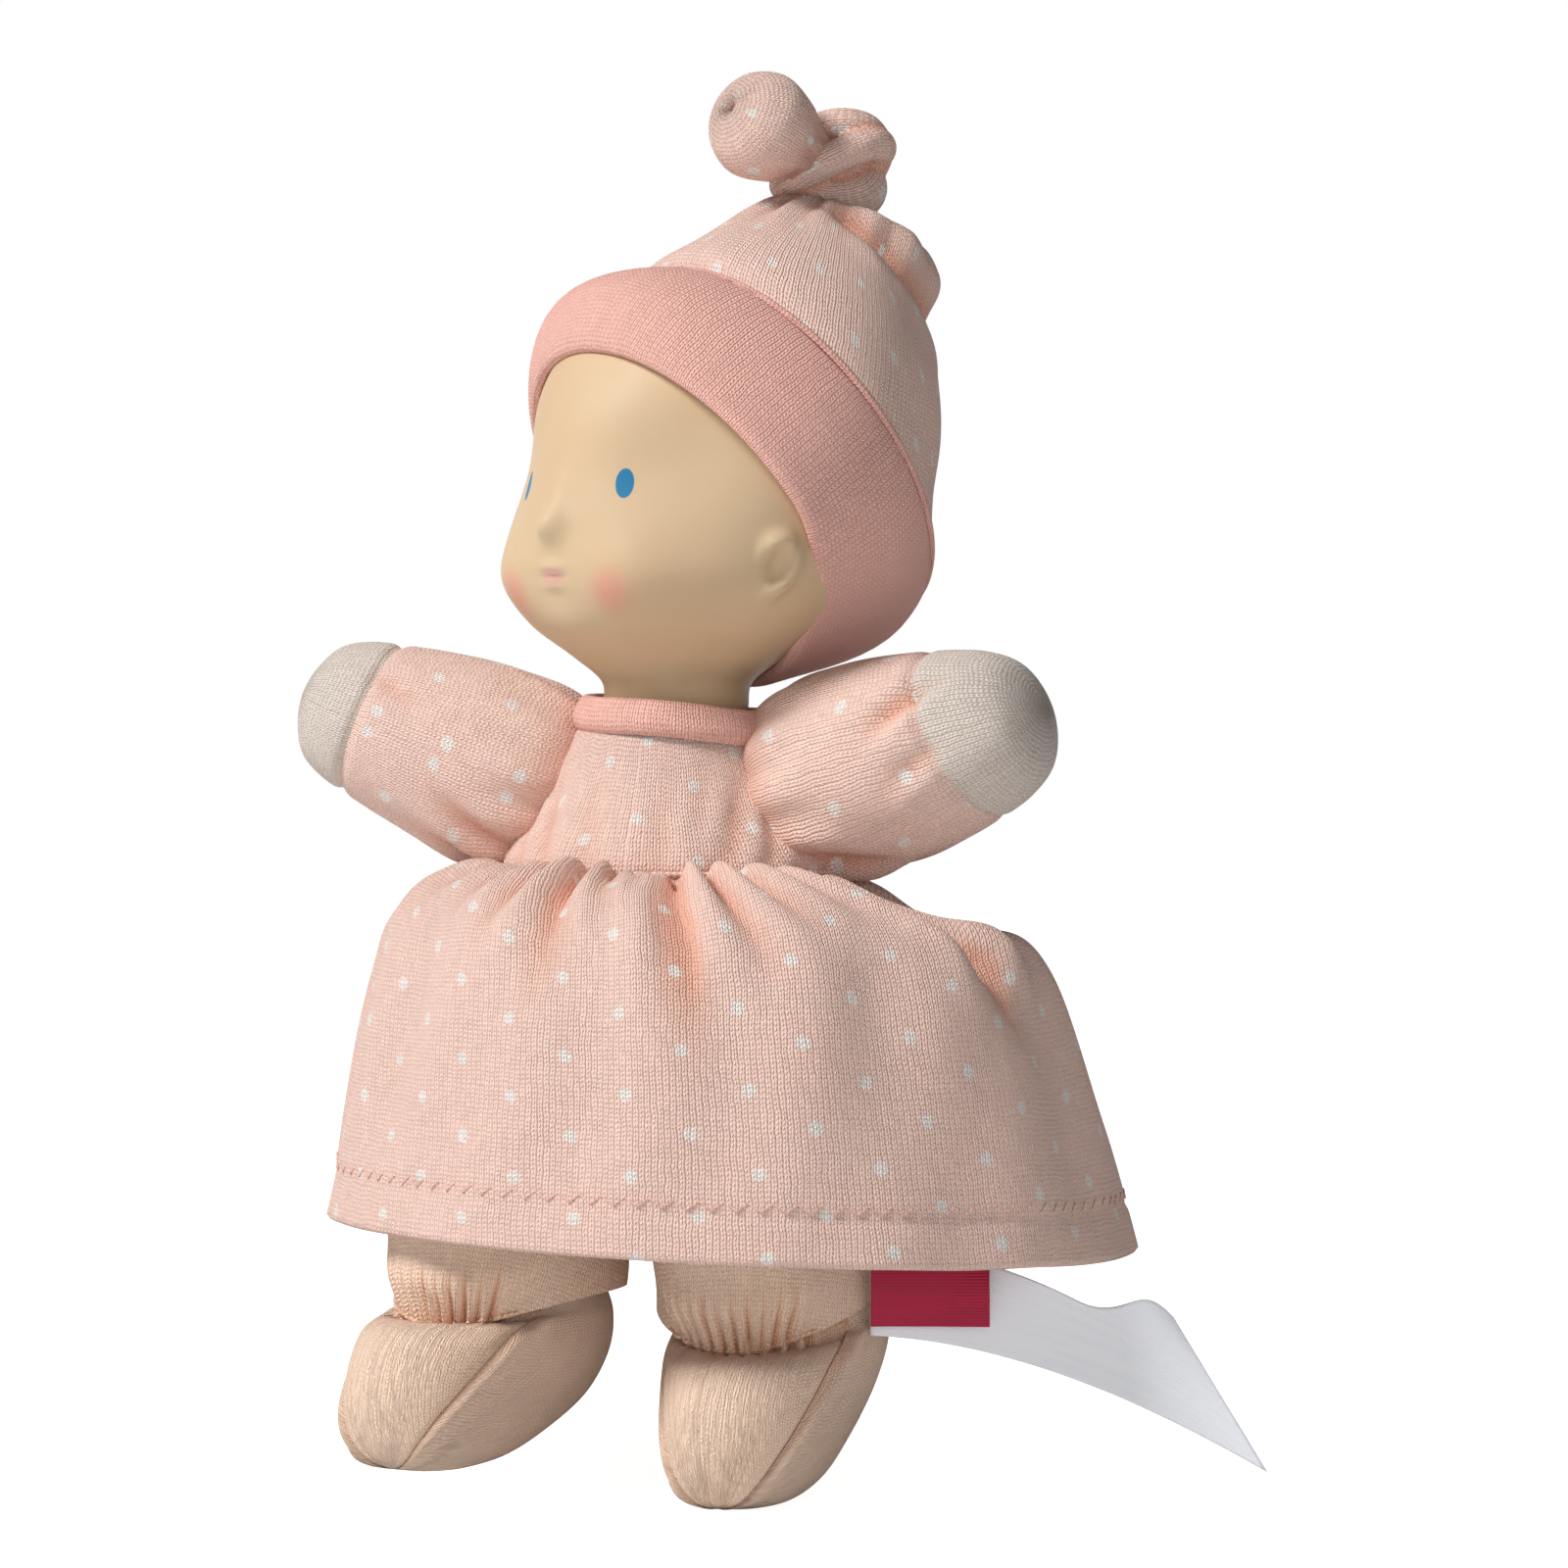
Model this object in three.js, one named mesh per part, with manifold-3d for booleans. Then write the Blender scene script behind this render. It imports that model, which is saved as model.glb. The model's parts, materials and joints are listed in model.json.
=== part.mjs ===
// A soft baby doll with a moulded head, a knotted hat and a gathered dress, ready to be posed.
// Millimetres and degrees, +Z up. The doll faces -Y and its left hand is on +X.
import * as THREE from "three";
import { mergeVertices } from "three/addons/utils/BufferGeometryUtils.js";
import Module from "manifold-3d";

const wasm = await Module();
wasm.setup();

// Sizes shared by all pieces
const seamGap = 0.35; // air between two pieces that are sewn or pressed together
const swingGap = 0.6; // air round a piece that swings
const clothThickness = 1.2;
const rubberThickness = 2.2;
const threadRadius = 0.5;
const roundPoints = 16; // points round a limb
const headPoints = 28; // points round the head and the hat
const skirtPoints = 42; // points round the skirt

// Torso: [height, half width, half depth, set back] of the stuffing, from the seat to the neck
const torsoOutline = [
  [56.5, 3, 2.4, -6],
  [58.5, 11, 8, -6],
  [62.5, 19, 13.5, -5],
  [69, 24, 17.5, -2.5],
  [77, 24.2, 19, -0.5],
  [84, 22.6, 18.6, 0],
  [91, 18.4, 16.2, 0],
  [97, 15.5, 13.8, 0],
  [101.5, 13, 12.4, 0],
];
const waistHeight = 83.5;
const lowerBodyTop = 80.4; // the lower body's panel ends under the skirt's gathers
const torsoRings = 10;

// Skirt: [height, half width, half depth, set back, set left] of the outer cloth, from the waist to the hem
const skirtOutline = [
  [82.6, 24.8, 21, 0, 0],
  [80.4, 33, 28, 0.2, 0.8],
  [76.5, 40.2, 34.6, 0.8, 2.2],
  [70.6, 45.6, 40, 1.4, 3.6],
  [61.8, 49.2, 44, 2, 4.4],
  [49, 52.4, 47, 3, 5],
  [35, 56, 50, 4, 5.6],
];
const skirtRings = 9;
const skirtFolds = 7; // big soft folds round the skirt
const skirtFoldDepth = 1.8;
const foldDrift = { depth: 0.8, waves: 3, phase: 0.6 }; // makes the folds uneven
const foldStart = 0.25; // share of the skirt's height where the folds reach their depth

// Collar and neck
const collarRadius = 14.2;
const collarHeight = 4.4;
const collarThickness = 1.3;
// [share of the collar's height, how far it leans in] from its sewn edge to its fold
const collarOutline = [
  [0, 0],
  [0.35, 0.2],
  [0.8, 1],
  [1, 1.3],
];
const neckRise = 2.7; // from the torso's top to the point where the head nods
const neckPivotHeight = torsoOutline.at(-1)[0] + neckRise;
const neckBallRadius = 8.8;
const neckStubRadius = 7.6;
const neckStubLength = 11.8; // from the nodding point up into the head
const neckStubEdge = 2; // rounded off at the stub's top
const neckTieRise = 1.4; // above the rim of the head's neck

// Head: [height, half width, half depth, set back] of the moulded head, from the neck's rim to the top
const headLift = 2; // the neck's rim above the nodding point
const headBase = neckPivotHeight + headLift;
const headOutline = [
  [0, 10.1, 10.1, 0],
  [3.8, 10.5, 10.5, 0.3],
  [7.3, 15.5, 14.5, 0.8],
  [11.8, 22, 21, 1.8],
  [17.8, 26.2, 25.8, 3.2],
  [24.8, 27.2, 27.4, 4.6],
  [32.8, 26.8, 27.6, 6.2],
  [41.8, 25, 26.4, 7.6],
  [49.8, 21, 22.4, 8.2],
  [55.8, 14.6, 15.6, 8.4],
  [59.3, 7, 7.4, 8.4],
  [60.4, 1, 1, 8.4],
];
const headTop = headBase + headOutline.at(-1)[0];
const headRings = 18;
const headTurnAtRest = -30; // the head looks to the doll's right
const headTurnRange = [-22, 80]; // further right, over to the left
const nodRange = [-6, 6];
const cavityTop = 48.8; // the head is hollow from its neck up to this height above its rim
const cavityRings = 9;
const nose = { height: 24.8, angle: 0, reach: 2.6, width: 3.6, tall: 3.2 };
const ear = { height: 20.4, angle: 72, reach: 2.2, width: 3.4, tall: 5.5 };

// Hat: worn tilted back, its rings stand square to an axis that leans less towards the knot
const hatTurn = -5; // the hat's middle lies a little to the right of the face
const hatRise = 29.2; // the hat's centre above the rim of the head's neck
const hatCentre = { back: 6.2, height: headBase + hatRise };
const openingTilt = 54;
const topTilt = 24;
const bandStart = -5.4; // along the tilted axis, from the hat's centre
const bandWidth = 18.4;
const bandRadius = { side: 29, fore: 30.2 };
// [share of the band's width, share of its radius] from the face to the crown
const bandOutline = [
  [0, 0.993],
  [0.3, 1.035],
  [0.65, 1.04],
  [1, 0.99],
];
const knotRise = 14.4; // the knot's centre above the head's top
const knotCentre = { back: 29.4, height: headTop + knotRise };
const crownDrop = 6.8; // the crown's top below the knot's centre
const crownTop = { back: 27.4, height: knotCentre.height - crownDrop };
// [share of the way to the knot, side radius, fore-and-aft radius] of the crown
const crownOutline = [
  [0, 28, 28.4],
  [0.25, 27, 26.8],
  [0.5, 24, 23.8],
  [0.75, 19, 18.8],
  [0.9, 14.4, 14.4],
  [1, 9, 9],
];
const crownRings = 8;
const knotRadius = 7;
const knotPoints = 12;
const knotStem = { top: 3.6, foot: 5 };
const knotWrap = { radius: 5.7, thickness: 2.2, nod: 62, roll: 24 }; // the loop round the knot
// [distance from the knot, radius] of the tail's plump end
const tailOutline = [
  [-4.2, 0],
  [-3.2, 2.7],
  [0, 4.2],
  [3, 5],
  [6, 7],
  [10, 7.9],
  [14.2, 5.6],
  [16.2, 0],
];
const tailRings = 9;
const tailSink = 0.5; // how deep the tail's pivot lies in the knot
const tailReach = 4.2; // the widest part of the tail's root that swings in the knot
const tailRange = [-25, 10];
const tailRise = 24; // the tail's end points forward and up by this angle

// Arms: the sleeve's [distance from the shoulder, radius], then the hand's
const shoulderDrop = 7.6; // below the nodding point
const shoulder = { out: 22.4, back: 1, height: neckPivotHeight - shoulderDrop };
const armRise = { left: 16, right: 20 };
const armForward = 9; // both arms reach a little forward
const sleeveOutline = [
  [-4.5, 9.6],
  [1, 11.2],
  [9, 13],
  [17, 12.2],
  [24, 10.6],
];
const handOutline = [
  [24, 10.6],
  [27.6, 9.9],
  [31, 8.2],
  [33.3, 4.6],
  [34.2, 0],
];
const sleeveRings = 6;
const handRings = 5;
const shoulderBallRadius = 10.6;
const shoulderReach = 11; // the widest part of the sleeve's root that swings past the bodice
const armReach = [7, 25]; // lowest and highest rise: on the skirt and beside the head

// Legs: the leg's [distance from the hip, radius] along a line from the hip to the ankle
const hip = { out: 17.4, back: -12, height: 58 };
const ankle = { out: 18.4, back: -18.4, height: 18.4 };
const legSwing = { left: 0, right: 7.5 }; // the right leg hangs a little forward of the left one
const legOutline = [
  [-5.5, 10.6],
  [2, 12],
  [12, 14.2],
  [22, 15.6],
  [30, 14.4],
  [34.8, 13],
];
const legRings = 6;
// The heel swells out behind the ankle: its middle, and half its width, length and height
const heel = { back: 12, rise: 3, halfWidth: 15.6, halfLength: 15.4, halfHeight: 11 };
const hipBallRadius = 11.94;
const hipReach = 12.2; // the widest part of the leg's root that swings past the body
const legReach = [-16, 9.5]; // furthest swing back and forward

// Feet: [distance from the ankle, radius] along an axis that points forward and down
const footDrop = { left: 36, right: 33 };
const toeOut = { left: 0, right: 14 }; // the right foot is turned outwards
const footOutline = [
  [-3, 11.6],
  [3, 12],
  [7, 11.8],
  [12.5, 11.4],
  [18, 10],
  [22.8, 6.8],
  [25.6, 3],
  [26.4, 0],
];
const footRings = 8;
const gatherArc = [25, 155]; // the gathers cross only the front of the ankle
const gatherRise = 2.4; // above the leg's lower edge
const gatherSteps = 12;
const ankleBallRadius = 11.98;
const ankleReach = 13.1; // the widest part of the foot's root that swings past the leg
const footRange = [-20, 4]; // toes down, toes up
const standingCut = 0.5; // depth of the flat under the toe that stands on the floor

// Labels in the left leg's side seam
const labelDrop = 30.2; // how far down the leg the labels are sewn in
const labelReach = 15.8; // from the leg's axis to the labels' sewn edge
const labelHeading = 20; // the labels point outwards and this far back
const tabSize = { length: 16, width: 9.6, thickness: 0.8 };
const ribbonSize = { length: 52, width: 12, thickness: 0.8 };
const tabRange = [-20, 0]; // flaps forward, away from the ribbon
const ribbonRange = [0, 20]; // flaps back, away from the tab
const ribbonTwist = 65;
const ribbonDroop = 15.5;
const labelSpacing = 1.8; // between the tab and the ribbon behind it
const ribbonSteps = 14;

const xAxis = new THREE.Vector3(1, 0, 0);
const yAxis = new THREE.Vector3(0, 1, 0);
const zAxis = new THREE.Vector3(0, 0, 1);
const turn = THREE.MathUtils.degToRad;
const onAxis = 1e-6; // a smaller radius counts as a point on the axis

// Points on a smooth curve through the outline's rows
function smooth(rows, count) {
  const last = rows.length - 1;
  return Array.from({ length: count + 1 }, (_, step) => {
    const place = (step / count) * last;
    const row = Math.min(Math.floor(place), last - 1);
    const share = place - row;
    const at = (index) => rows[THREE.MathUtils.clamp(index, 0, last)];
    return rows[0].map((_, column) => {
      const [before, start, end, after] = [row - 1, row, row + 1, row + 2].map((i) => at(i)[column]);
      const bend = (2 * before - 5 * start + 4 * end - after) * share ** 2;
      const swing = (3 * (start - end) + after - before) * share ** 3;
      return start + 0.5 * ((end - before) * share + bend + swing);
    });
  });
}

// The part of an outline between two heights, with a row on each of them
function between(rows, low, high) {
  const rowAt = (height) => {
    const index = Math.max(rows.findIndex((row) => row[0] >= height - onAxis), 1);
    const [start, end] = [rows[index - 1], rows[index]];
    const share = (height - start[0]) / (end[0] - start[0]);
    return start.map((value, column) => THREE.MathUtils.lerp(value, end[column], share));
  };
  const margin = 0.5; // rows closer than this to an end are left out
  const middle = rows.filter(([height]) => height > low + margin && height < high - margin);
  return [rowAt(low), ...middle, rowAt(high)];
}

// One closed section: the points that pointAt gives round a full turn
function section(count, pointAt) {
  return Array.from({ length: count }, (_, index) => pointAt((index / count) * 2 * Math.PI));
}

// Upright oval section: angle 0 is the front
function oval([height, halfWidth, halfDepth, setBack = 0, setLeft = 0], count, push = () => 0) {
  return section(count, (angle) => {
    const grow = push(angle, height);
    const x = setLeft + (halfWidth + grow) * Math.sin(angle);
    const y = setBack - (halfDepth + grow) * Math.cos(angle);
    return new THREE.Vector3(x, y, height);
  });
}

// The outline moved outwards, square to its side line
function offset(rows, distance) {
  return rows.map((row, index) => {
    const before = rows[Math.max(index - 1, 0)];
    const after = rows[Math.min(index + 1, rows.length - 1)];
    const side = new THREE.Vector2(after[1] - before[1], after[0] - before[0]).normalize();
    const grow = Math.abs(side.y) * distance;
    const rise = -side.x * Math.sign(side.y) * distance;
    return [row[0] + rise, row[1] + grow, row[2] + grow, ...row.slice(3)];
  });
}

// A closed surface through sections, with flat ends, or with its last section joined to its first
function loft(sections, joined = false) {
  const count = sections[0].length;
  const points = sections.flat();
  const faces = [];
  const strips = joined ? sections.length : sections.length - 1;
  for (let strip = 0; strip < strips; strip++) {
    const low = strip * count;
    const high = ((strip + 1) % sections.length) * count;
    for (let index = 0; index < count; index++) {
      const next = (index + 1) % count;
      faces.push(low + index, low + next, high + next, low + index, high + next, high + index);
    }
  }
  if (!joined) {
    const ends = [sections[0], sections.at(-1)];
    ends.forEach((end, which) => {
      const centre = end.reduce((sum, point) => sum.add(point), new THREE.Vector3()).divideScalar(count);
      const first = which === 0 ? 0 : (sections.length - 1) * count;
      points.push(centre);
      for (let index = 0; index < count; index++) {
        const pair = [first + index, first + ((index + 1) % count)];
        faces.push(points.length - 1, ...(which === 0 ? pair.reverse() : pair));
      }
    });
  }
  return new THREE.BufferGeometry().setFromPoints(points).setIndex(faces);
}

// A round piece: rows of [along, radius] turned about +Y
function turned(rows, count = roundPoints) {
  const profile = rows.map(([along, radius]) => new THREE.Vector2(radius > onAxis ? radius : 0, along));
  return new THREE.LatheGeometry(profile, count);
}

// Geometry as a solid that can be joined and cut
function solid(geometry, matrix = new THREE.Matrix4()) {
  const bare = new THREE.BufferGeometry();
  bare.setAttribute("position", geometry.getAttribute("position").clone());
  bare.setIndex(geometry.index);
  const merged = mergeVertices(bare.applyMatrix4(matrix), 1e-4);
  const corners = merged.index.array;
  const kept = [];
  for (let index = 0; index < corners.length; index += 3) {
    const [a, b, c] = corners.slice(index, index + 3);
    if (a !== b && b !== c && c !== a) {
      kept.push([a, b, c]);
    }
  }
  const vertProperties = merged.attributes.position.array;
  const build = (faces) =>
    new wasm.Manifold(
      new wasm.Mesh({ numProp: 3, vertProperties, triVerts: new Uint32Array(faces.flat()) }),
    );
  const made = build(kept);
  return made.volume() > 0 ? made : build(kept.map(([a, b, c]) => [a, c, b]));
}

function ball(radius, centre, count = roundPoints) {
  const place = new THREE.Matrix4().makeTranslation(centre);
  return solid(new THREE.SphereGeometry(radius, count, count / 2), place);
}

function block(low, high) {
  const size = high.clone().sub(low);
  const middle = low.clone().add(high).multiplyScalar(0.5);
  return solid(new THREE.BoxGeometry(size.x, size.y, size.z), new THREE.Matrix4().makeTranslation(middle));
}

// The solid as a named piece of the scene graph
function piece(name, body, material, parent) {
  const made = body.getMesh();
  const geometry = new THREE.BufferGeometry();
  geometry.setAttribute("position", new THREE.BufferAttribute(made.vertProperties, 3));
  geometry.setIndex(new THREE.BufferAttribute(made.triVerts, 1));
  geometry.computeVertexNormals();
  const mesh = new THREE.Mesh(geometry, material);
  mesh.name = name;
  parent.add(mesh);
  return mesh;
}

function finish(color, roughness) {
  return new THREE.MeshStandardMaterial({ color, roughness, metalness: 0 });
}

const dottedJersey = finish("#eccbbf", 0.95);
const salmonRib = finish("#dd9f96", 0.95);
const creamJersey = finish("#e2d6cd", 0.95);
const peachJersey = finish("#e6c6aa", 0.95);
const wadding = finish("#f2efe8", 1);
const skinRubber = finish("#dcc2a2", 0.55);
const sewingThread = finish("#d9a99c", 0.8);
const crimsonSatin = finish("#8f1f35", 0.4);
const whiteSatin = finish("#dfe2ea", 0.4);

const doll = new THREE.Group();
const joints = {}; // where each joint turns and about which line, in the doll's frame

// A group whose +Y runs from the pivot along the direction
function aimed(pivot, direction, parent) {
  const group = new THREE.Group();
  group.position.copy(pivot);
  group.quaternion.setFromUnitVectors(yAxis, direction.clone().normalize());
  parent.add(group);
  group.updateMatrixWorld(true);
  return group;
}

// Stuffing profile with a round root about the pivot: [along, radius] from the axis to the axis
function stuffed(rows, ballRadius, inset) {
  const root = [];
  const rootSteps = 4;
  const opening = Math.acos(THREE.MathUtils.clamp(rows[0][0] / ballRadius, -1, 1));
  for (let step = 0; step <= rootSteps; step++) {
    const angle = Math.PI - ((Math.PI - opening) * step) / rootSteps;
    root.push([ballRadius * Math.cos(angle), ballRadius * Math.sin(angle)]);
  }
  return [...root, ...inside(rows, inset).slice(1)];
}

// The outline moved inwards, square to its own line; the first row keeps its place along the axis
function inside(rows, distance) {
  const moved = rows.map(([along, radius], index) => {
    if (index === 0) {
      return [along, radius - distance];
    }
    const next = rows[Math.min(index + 1, rows.length - 1)];
    const line = new THREE.Vector2(next[0] - rows[index - 1][0], next[1] - rows[index - 1][1]).normalize();
    return radius > onAxis
      ? [along + distance * line.y, radius - distance * line.x]
      : [along - distance, 0];
  });
  const end = moved.at(-1);
  return moved.filter((row) => row === end || (row[0] < end[0] && row[1] > distance / 2) || end[1] > 0);
}

// The room that a limb's round root needs about its pivot
function swingRoom(pivot, reach) {
  return ball(reach + swingGap, pivot);
}

// Wall of cloth that follows the outline: outer rows out, inner rows back
function wall(rows, thickness) {
  const inner = rows.map(([along, radius]) => [along, radius - thickness]);
  return [...rows, ...inner.reverse(), rows[0]];
}

// Cup of cloth with a closed end on the axis
function cup(rows, thickness) {
  return [...[...rows].reverse(), ...inside(rows, thickness)];
}

// Arms
const limbRooms = [];
function arm(side) {
  const word = side > 0 ? "left" : "right";
  const pivot = new THREE.Vector3(side * shoulder.out, shoulder.back, shoulder.height);
  const rise = turn(armRise[word]);
  const forward = -side * turn(armForward);
  const direction = new THREE.Vector3(side * Math.cos(rise), 0, Math.sin(rise));
  direction.applyAxisAngle(zAxis, forward);
  const group = aimed(pivot, direction, doll);
  const sleeve = smooth(sleeveOutline, sleeveRings);
  const hand = smooth(handOutline, handRings);
  hand.forEach((row) => (row[0] += row === hand[0] ? seamGap : 0));
  piece(`${word}_sleeve`, solid(turned(wall(sleeve, clothThickness))), dottedJersey, group);
  piece(`${word}_hand_cap`, solid(turned(cup(hand, clothThickness))), creamJersey, group);
  const whole = [...sleeve, ...hand.slice(1)];
  const inset = clothThickness + seamGap;
  const stuffing = stuffed(whole, shoulderBallRadius - inset, inset);
  piece(`${word}_arm_filling`, solid(turned(stuffing)), wadding, group);
  const range = armReach.map((reach) => reach - armRise[word]);
  const axis = new THREE.Vector3(0, -side, 0).applyAxisAngle(zAxis, forward);
  joints[`${word}_shoulder`] = { pivot, axis, range };
  limbRooms.push(swingRoom(pivot, shoulderReach));
}
[1, -1].forEach(arm);

// Legs and feet
function leg(side) {
  const word = side > 0 ? "left" : "right";
  const pivot = new THREE.Vector3(side * hip.out, hip.back, hip.height);
  const swing = xAxis.clone().negate();
  const swung = (vector) => vector.applyAxisAngle(swing, turn(legSwing[word]));
  const shin = swung(new THREE.Vector3(side * ankle.out, ankle.back, ankle.height).sub(pivot));
  const ankleAt = pivot.clone().add(shin);
  const group = aimed(pivot, shin, doll);
  const drop = turn(footDrop[word]);
  const toeward = swung(new THREE.Vector3(0, -Math.cos(drop), -Math.sin(drop)));
  const footGroup = aimed(ankleAt, toeward, doll);
  const outward = side * turn(toeOut[word]);
  footGroup.rotateOnWorldAxis(zAxis, outward);
  footGroup.updateMatrixWorld(true);
  const hinge = swing.clone().applyAxisAngle(zAxis, outward);
  const toLeg = group.matrixWorld.clone().invert();
  const foot = smooth(footOutline, footRings);

  const footRoom = swingRoom(ankleAt, ankleReach).transform(toLeg.elements);
  const inset = clothThickness + seamGap;
  const legRows = smooth(legOutline, legRings);
  const length = legRows.at(-1)[0];
  const heelMiddle = swung(new THREE.Vector3(0, heel.back, heel.rise)).applyAxisAngle(zAxis, outward);
  const heelPlace = new THREE.Matrix4().makeTranslation(ankleAt.clone().add(heelMiddle));
  heelPlace.multiply(new THREE.Matrix4().makeRotationZ(outward));
  heelPlace.multiply(new THREE.Matrix4().makeRotationX(Math.PI / 2 - turn(legSwing[word])));
  heelPlace.premultiply(toLeg);
  const heeled = (rows, shrink) => {
    const size = [heel.halfWidth, heel.halfHeight, heel.halfLength].map((half) => half - shrink);
    const round = new THREE.SphereGeometry(1, roundPoints, roundPoints / 2).scale(...size);
    return solid(turned(rows)).add(solid(round, heelPlace));
  };
  const outerRows = [[legRows[0][0], 0], ...legRows, [length, 0]];
  const runOut = 1; // the hollow runs on past both ends of the leg's panel
  const hollow = legRows.map(([along, radius]) => [along, radius - clothThickness]);
  hollow[0][0] -= runOut;
  hollow.at(-1)[0] += runOut;
  const innerRows = [[hollow[0][0], 0], ...hollow, [hollow.at(-1)[0], 0]];
  const panel = heeled(outerRows, 0).subtract(heeled(innerRows, clothThickness)).subtract(footRoom);
  piece(`${word}_leg_panel`, panel, peachJersey, group);
  const legStuffing = [...stuffed(legRows, hipBallRadius - inset, inset), [length - inset, 0]];
  piece(`${word}_leg_filling`, heeled(legStuffing, inset).subtract(footRoom), wadding, group);

  const [threadAlong, legRadius] = between(legRows, length - gatherRise, length)[0];
  const threadReach = legRadius + threadRadius + seamGap;
  const [from, to] = gatherArc.map(turn);
  const threadArc = new THREE.EllipseCurve(0, 0, threadReach, threadReach, from, to);
  const threadPath = threadArc
    .getPoints(gatherSteps)
    .map(({ x, y }) => new THREE.Vector3(x, threadAlong, -y));
  const bead = new THREE.Shape().absarc(0, 0, threadRadius, 0, 2 * Math.PI);
  const thread = new THREE.ExtrudeGeometry(bead, {
    steps: gatherSteps,
    curveSegments: 3,
    extrudePath: new THREE.CatmullRomCurve3(threadPath),
  });
  piece(`${word}_ankle_thread`, solid(thread).subtract(footRoom), sewingThread, group);

  const range = legReach.map((reach) => reach - legSwing[word]);
  joints[`${word}_hip`] = { pivot, axis: swing, range };
  joints[`${word}_ankle`] = { pivot: ankleAt, axis: hinge, range: footRange };
  limbRooms.push(swingRoom(pivot, hipReach));

  // The foot's cloth is cut flat under the toe and split along its axis into a top and a sole
  const toFoot = footGroup.matrixWorld.clone().invert();
  const reach = 60;
  const below = block(new THREE.Vector3(-reach, -reach, -reach), new THREE.Vector3(reach, reach, 0));
  const floor = below.transform(toFoot.elements);
  const lift = (low, high) =>
    block(new THREE.Vector3(-reach, -reach, low), new THREE.Vector3(reach, reach, high));
  const cover = solid(turned(cup(foot, clothThickness + standingCut))).subtract(floor);
  piece(`${word}_toe_cap`, cover.subtract(lift(-seamGap / 2, reach)), peachJersey, footGroup);
  piece(`${word}_sole_panel`, cover.subtract(lift(-reach, seamGap / 2)), peachJersey, footGroup);
  const footInset = inset + standingCut;
  const stuffing = solid(turned(stuffed(foot, ankleBallRadius - footInset, footInset)));
  piece(`${word}_foot_filling`, stuffing, wadding, footGroup);
}
[1, -1].forEach(leg);

// Torso: stuffing, bodice panels above the waist and the lower body's panel below it
const neckPivot = new THREE.Vector3(0, 0, neckPivotHeight);
function torso() {
  const rows = smooth(torsoOutline, torsoRings);
  const clearOfLimbs = (body) => limbRooms.reduce((left, room) => left.subtract(room), body);
  const bowl = ball(neckBallRadius + swingGap, neckPivot);
  const ovals = (list) => list.map((row) => oval(row, roundPoints));
  piece("torso_filling", clearOfLimbs(solid(loft(ovals(rows)))).subtract(bowl), wadding, doll);
  const upper = between(rows, waistHeight + seamGap, torsoOutline.at(-1)[0]);
  const lower = between(rows, torsoOutline[0][0], lowerBodyTop);
  const inner = seamGap;
  const outer = seamGap + clothThickness;
  const bodice = [...ovals(offset(upper, outer)), ...ovals(offset(upper, inner)).reverse()];
  const cover = clearOfLimbs(solid(loft(bodice, true)));
  const reach = 100;
  const half = (low, high) =>
    block(new THREE.Vector3(-reach, low, 0), new THREE.Vector3(reach, high, 2 * reach));
  piece("bodice_front", cover.subtract(half(-seamGap / 2, reach)), dottedJersey, doll);
  piece("bodice_back", cover.subtract(half(-reach, seamGap / 2)), dottedJersey, doll);
  const bag = [...ovals(offset(lower, outer)), ...ovals(offset(lower, inner)).reverse()];
  piece("lower_body_panel", clearOfLimbs(solid(loft(bag))), peachJersey, doll);
}
torso();

// Skirt: gathered at the waist, opening into big soft folds
function skirt() {
  const rows = smooth(skirtOutline, skirtRings);
  const [top] = rows[0];
  const fall = top - rows.at(-1)[0];
  const folds = (angle, height) => {
    const share = THREE.MathUtils.smoothstep((top - height) / fall, 0, foldStart);
    const main = Math.cos(skirtFolds * angle + Math.PI);
    const drift = foldDrift.depth * Math.sin(foldDrift.waves * angle + foldDrift.phase);
    return share * (skirtFoldDepth * main + drift);
  };
  const ovals = (grow) =>
    rows.map(([z, wide, deep, ...set]) => oval([z, wide + grow, deep + grow, ...set], skirtPoints, folds));
  const cloth = loft([...ovals(0), ...ovals(-clothThickness).reverse()], true);
  piece("skirt", solid(cloth), dottedJersey, doll);

  const [, wide, deep] = rows[0];
  const line = section(skirtPoints, (angle) => {
    const inset = clothThickness / 2;
    return new THREE.Vector3((wide - inset) * Math.sin(angle), -(deep - inset) * Math.cos(angle), 0);
  });
  const threadHeight = top + threadRadius + seamGap;
  const beadPoints = 5;
  const beads = section(beadPoints, (around) => around).map((around) =>
    line.map((point) => {
      const outwards = point.clone().normalize().multiplyScalar(threadRadius * Math.cos(around));
      return point.clone().add(outwards).setZ(threadHeight + threadRadius * Math.sin(around));
    }),
  );
  piece("waist_gathering_thread", solid(loft(beads, true)), sewingThread, doll);
}
skirt();

// Collar: a short rib band that stands on the bodice's neck edge
function collar() {
  const base = torsoOutline.at(-1)[0] + clothThickness + seamGap;
  const rows = collarOutline.map(([share, lean]) => [share * collarHeight, collarRadius - lean]);
  const upright = new THREE.Matrix4().makeTranslation(0, 0, base).multiply(
    new THREE.Matrix4().makeRotationX(Math.PI / 2),
  );
  const band = turned(wall(rows, collarThickness), headPoints);
  piece("collar_band", solid(band, upright), salmonRib, doll);
}
collar();

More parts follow.
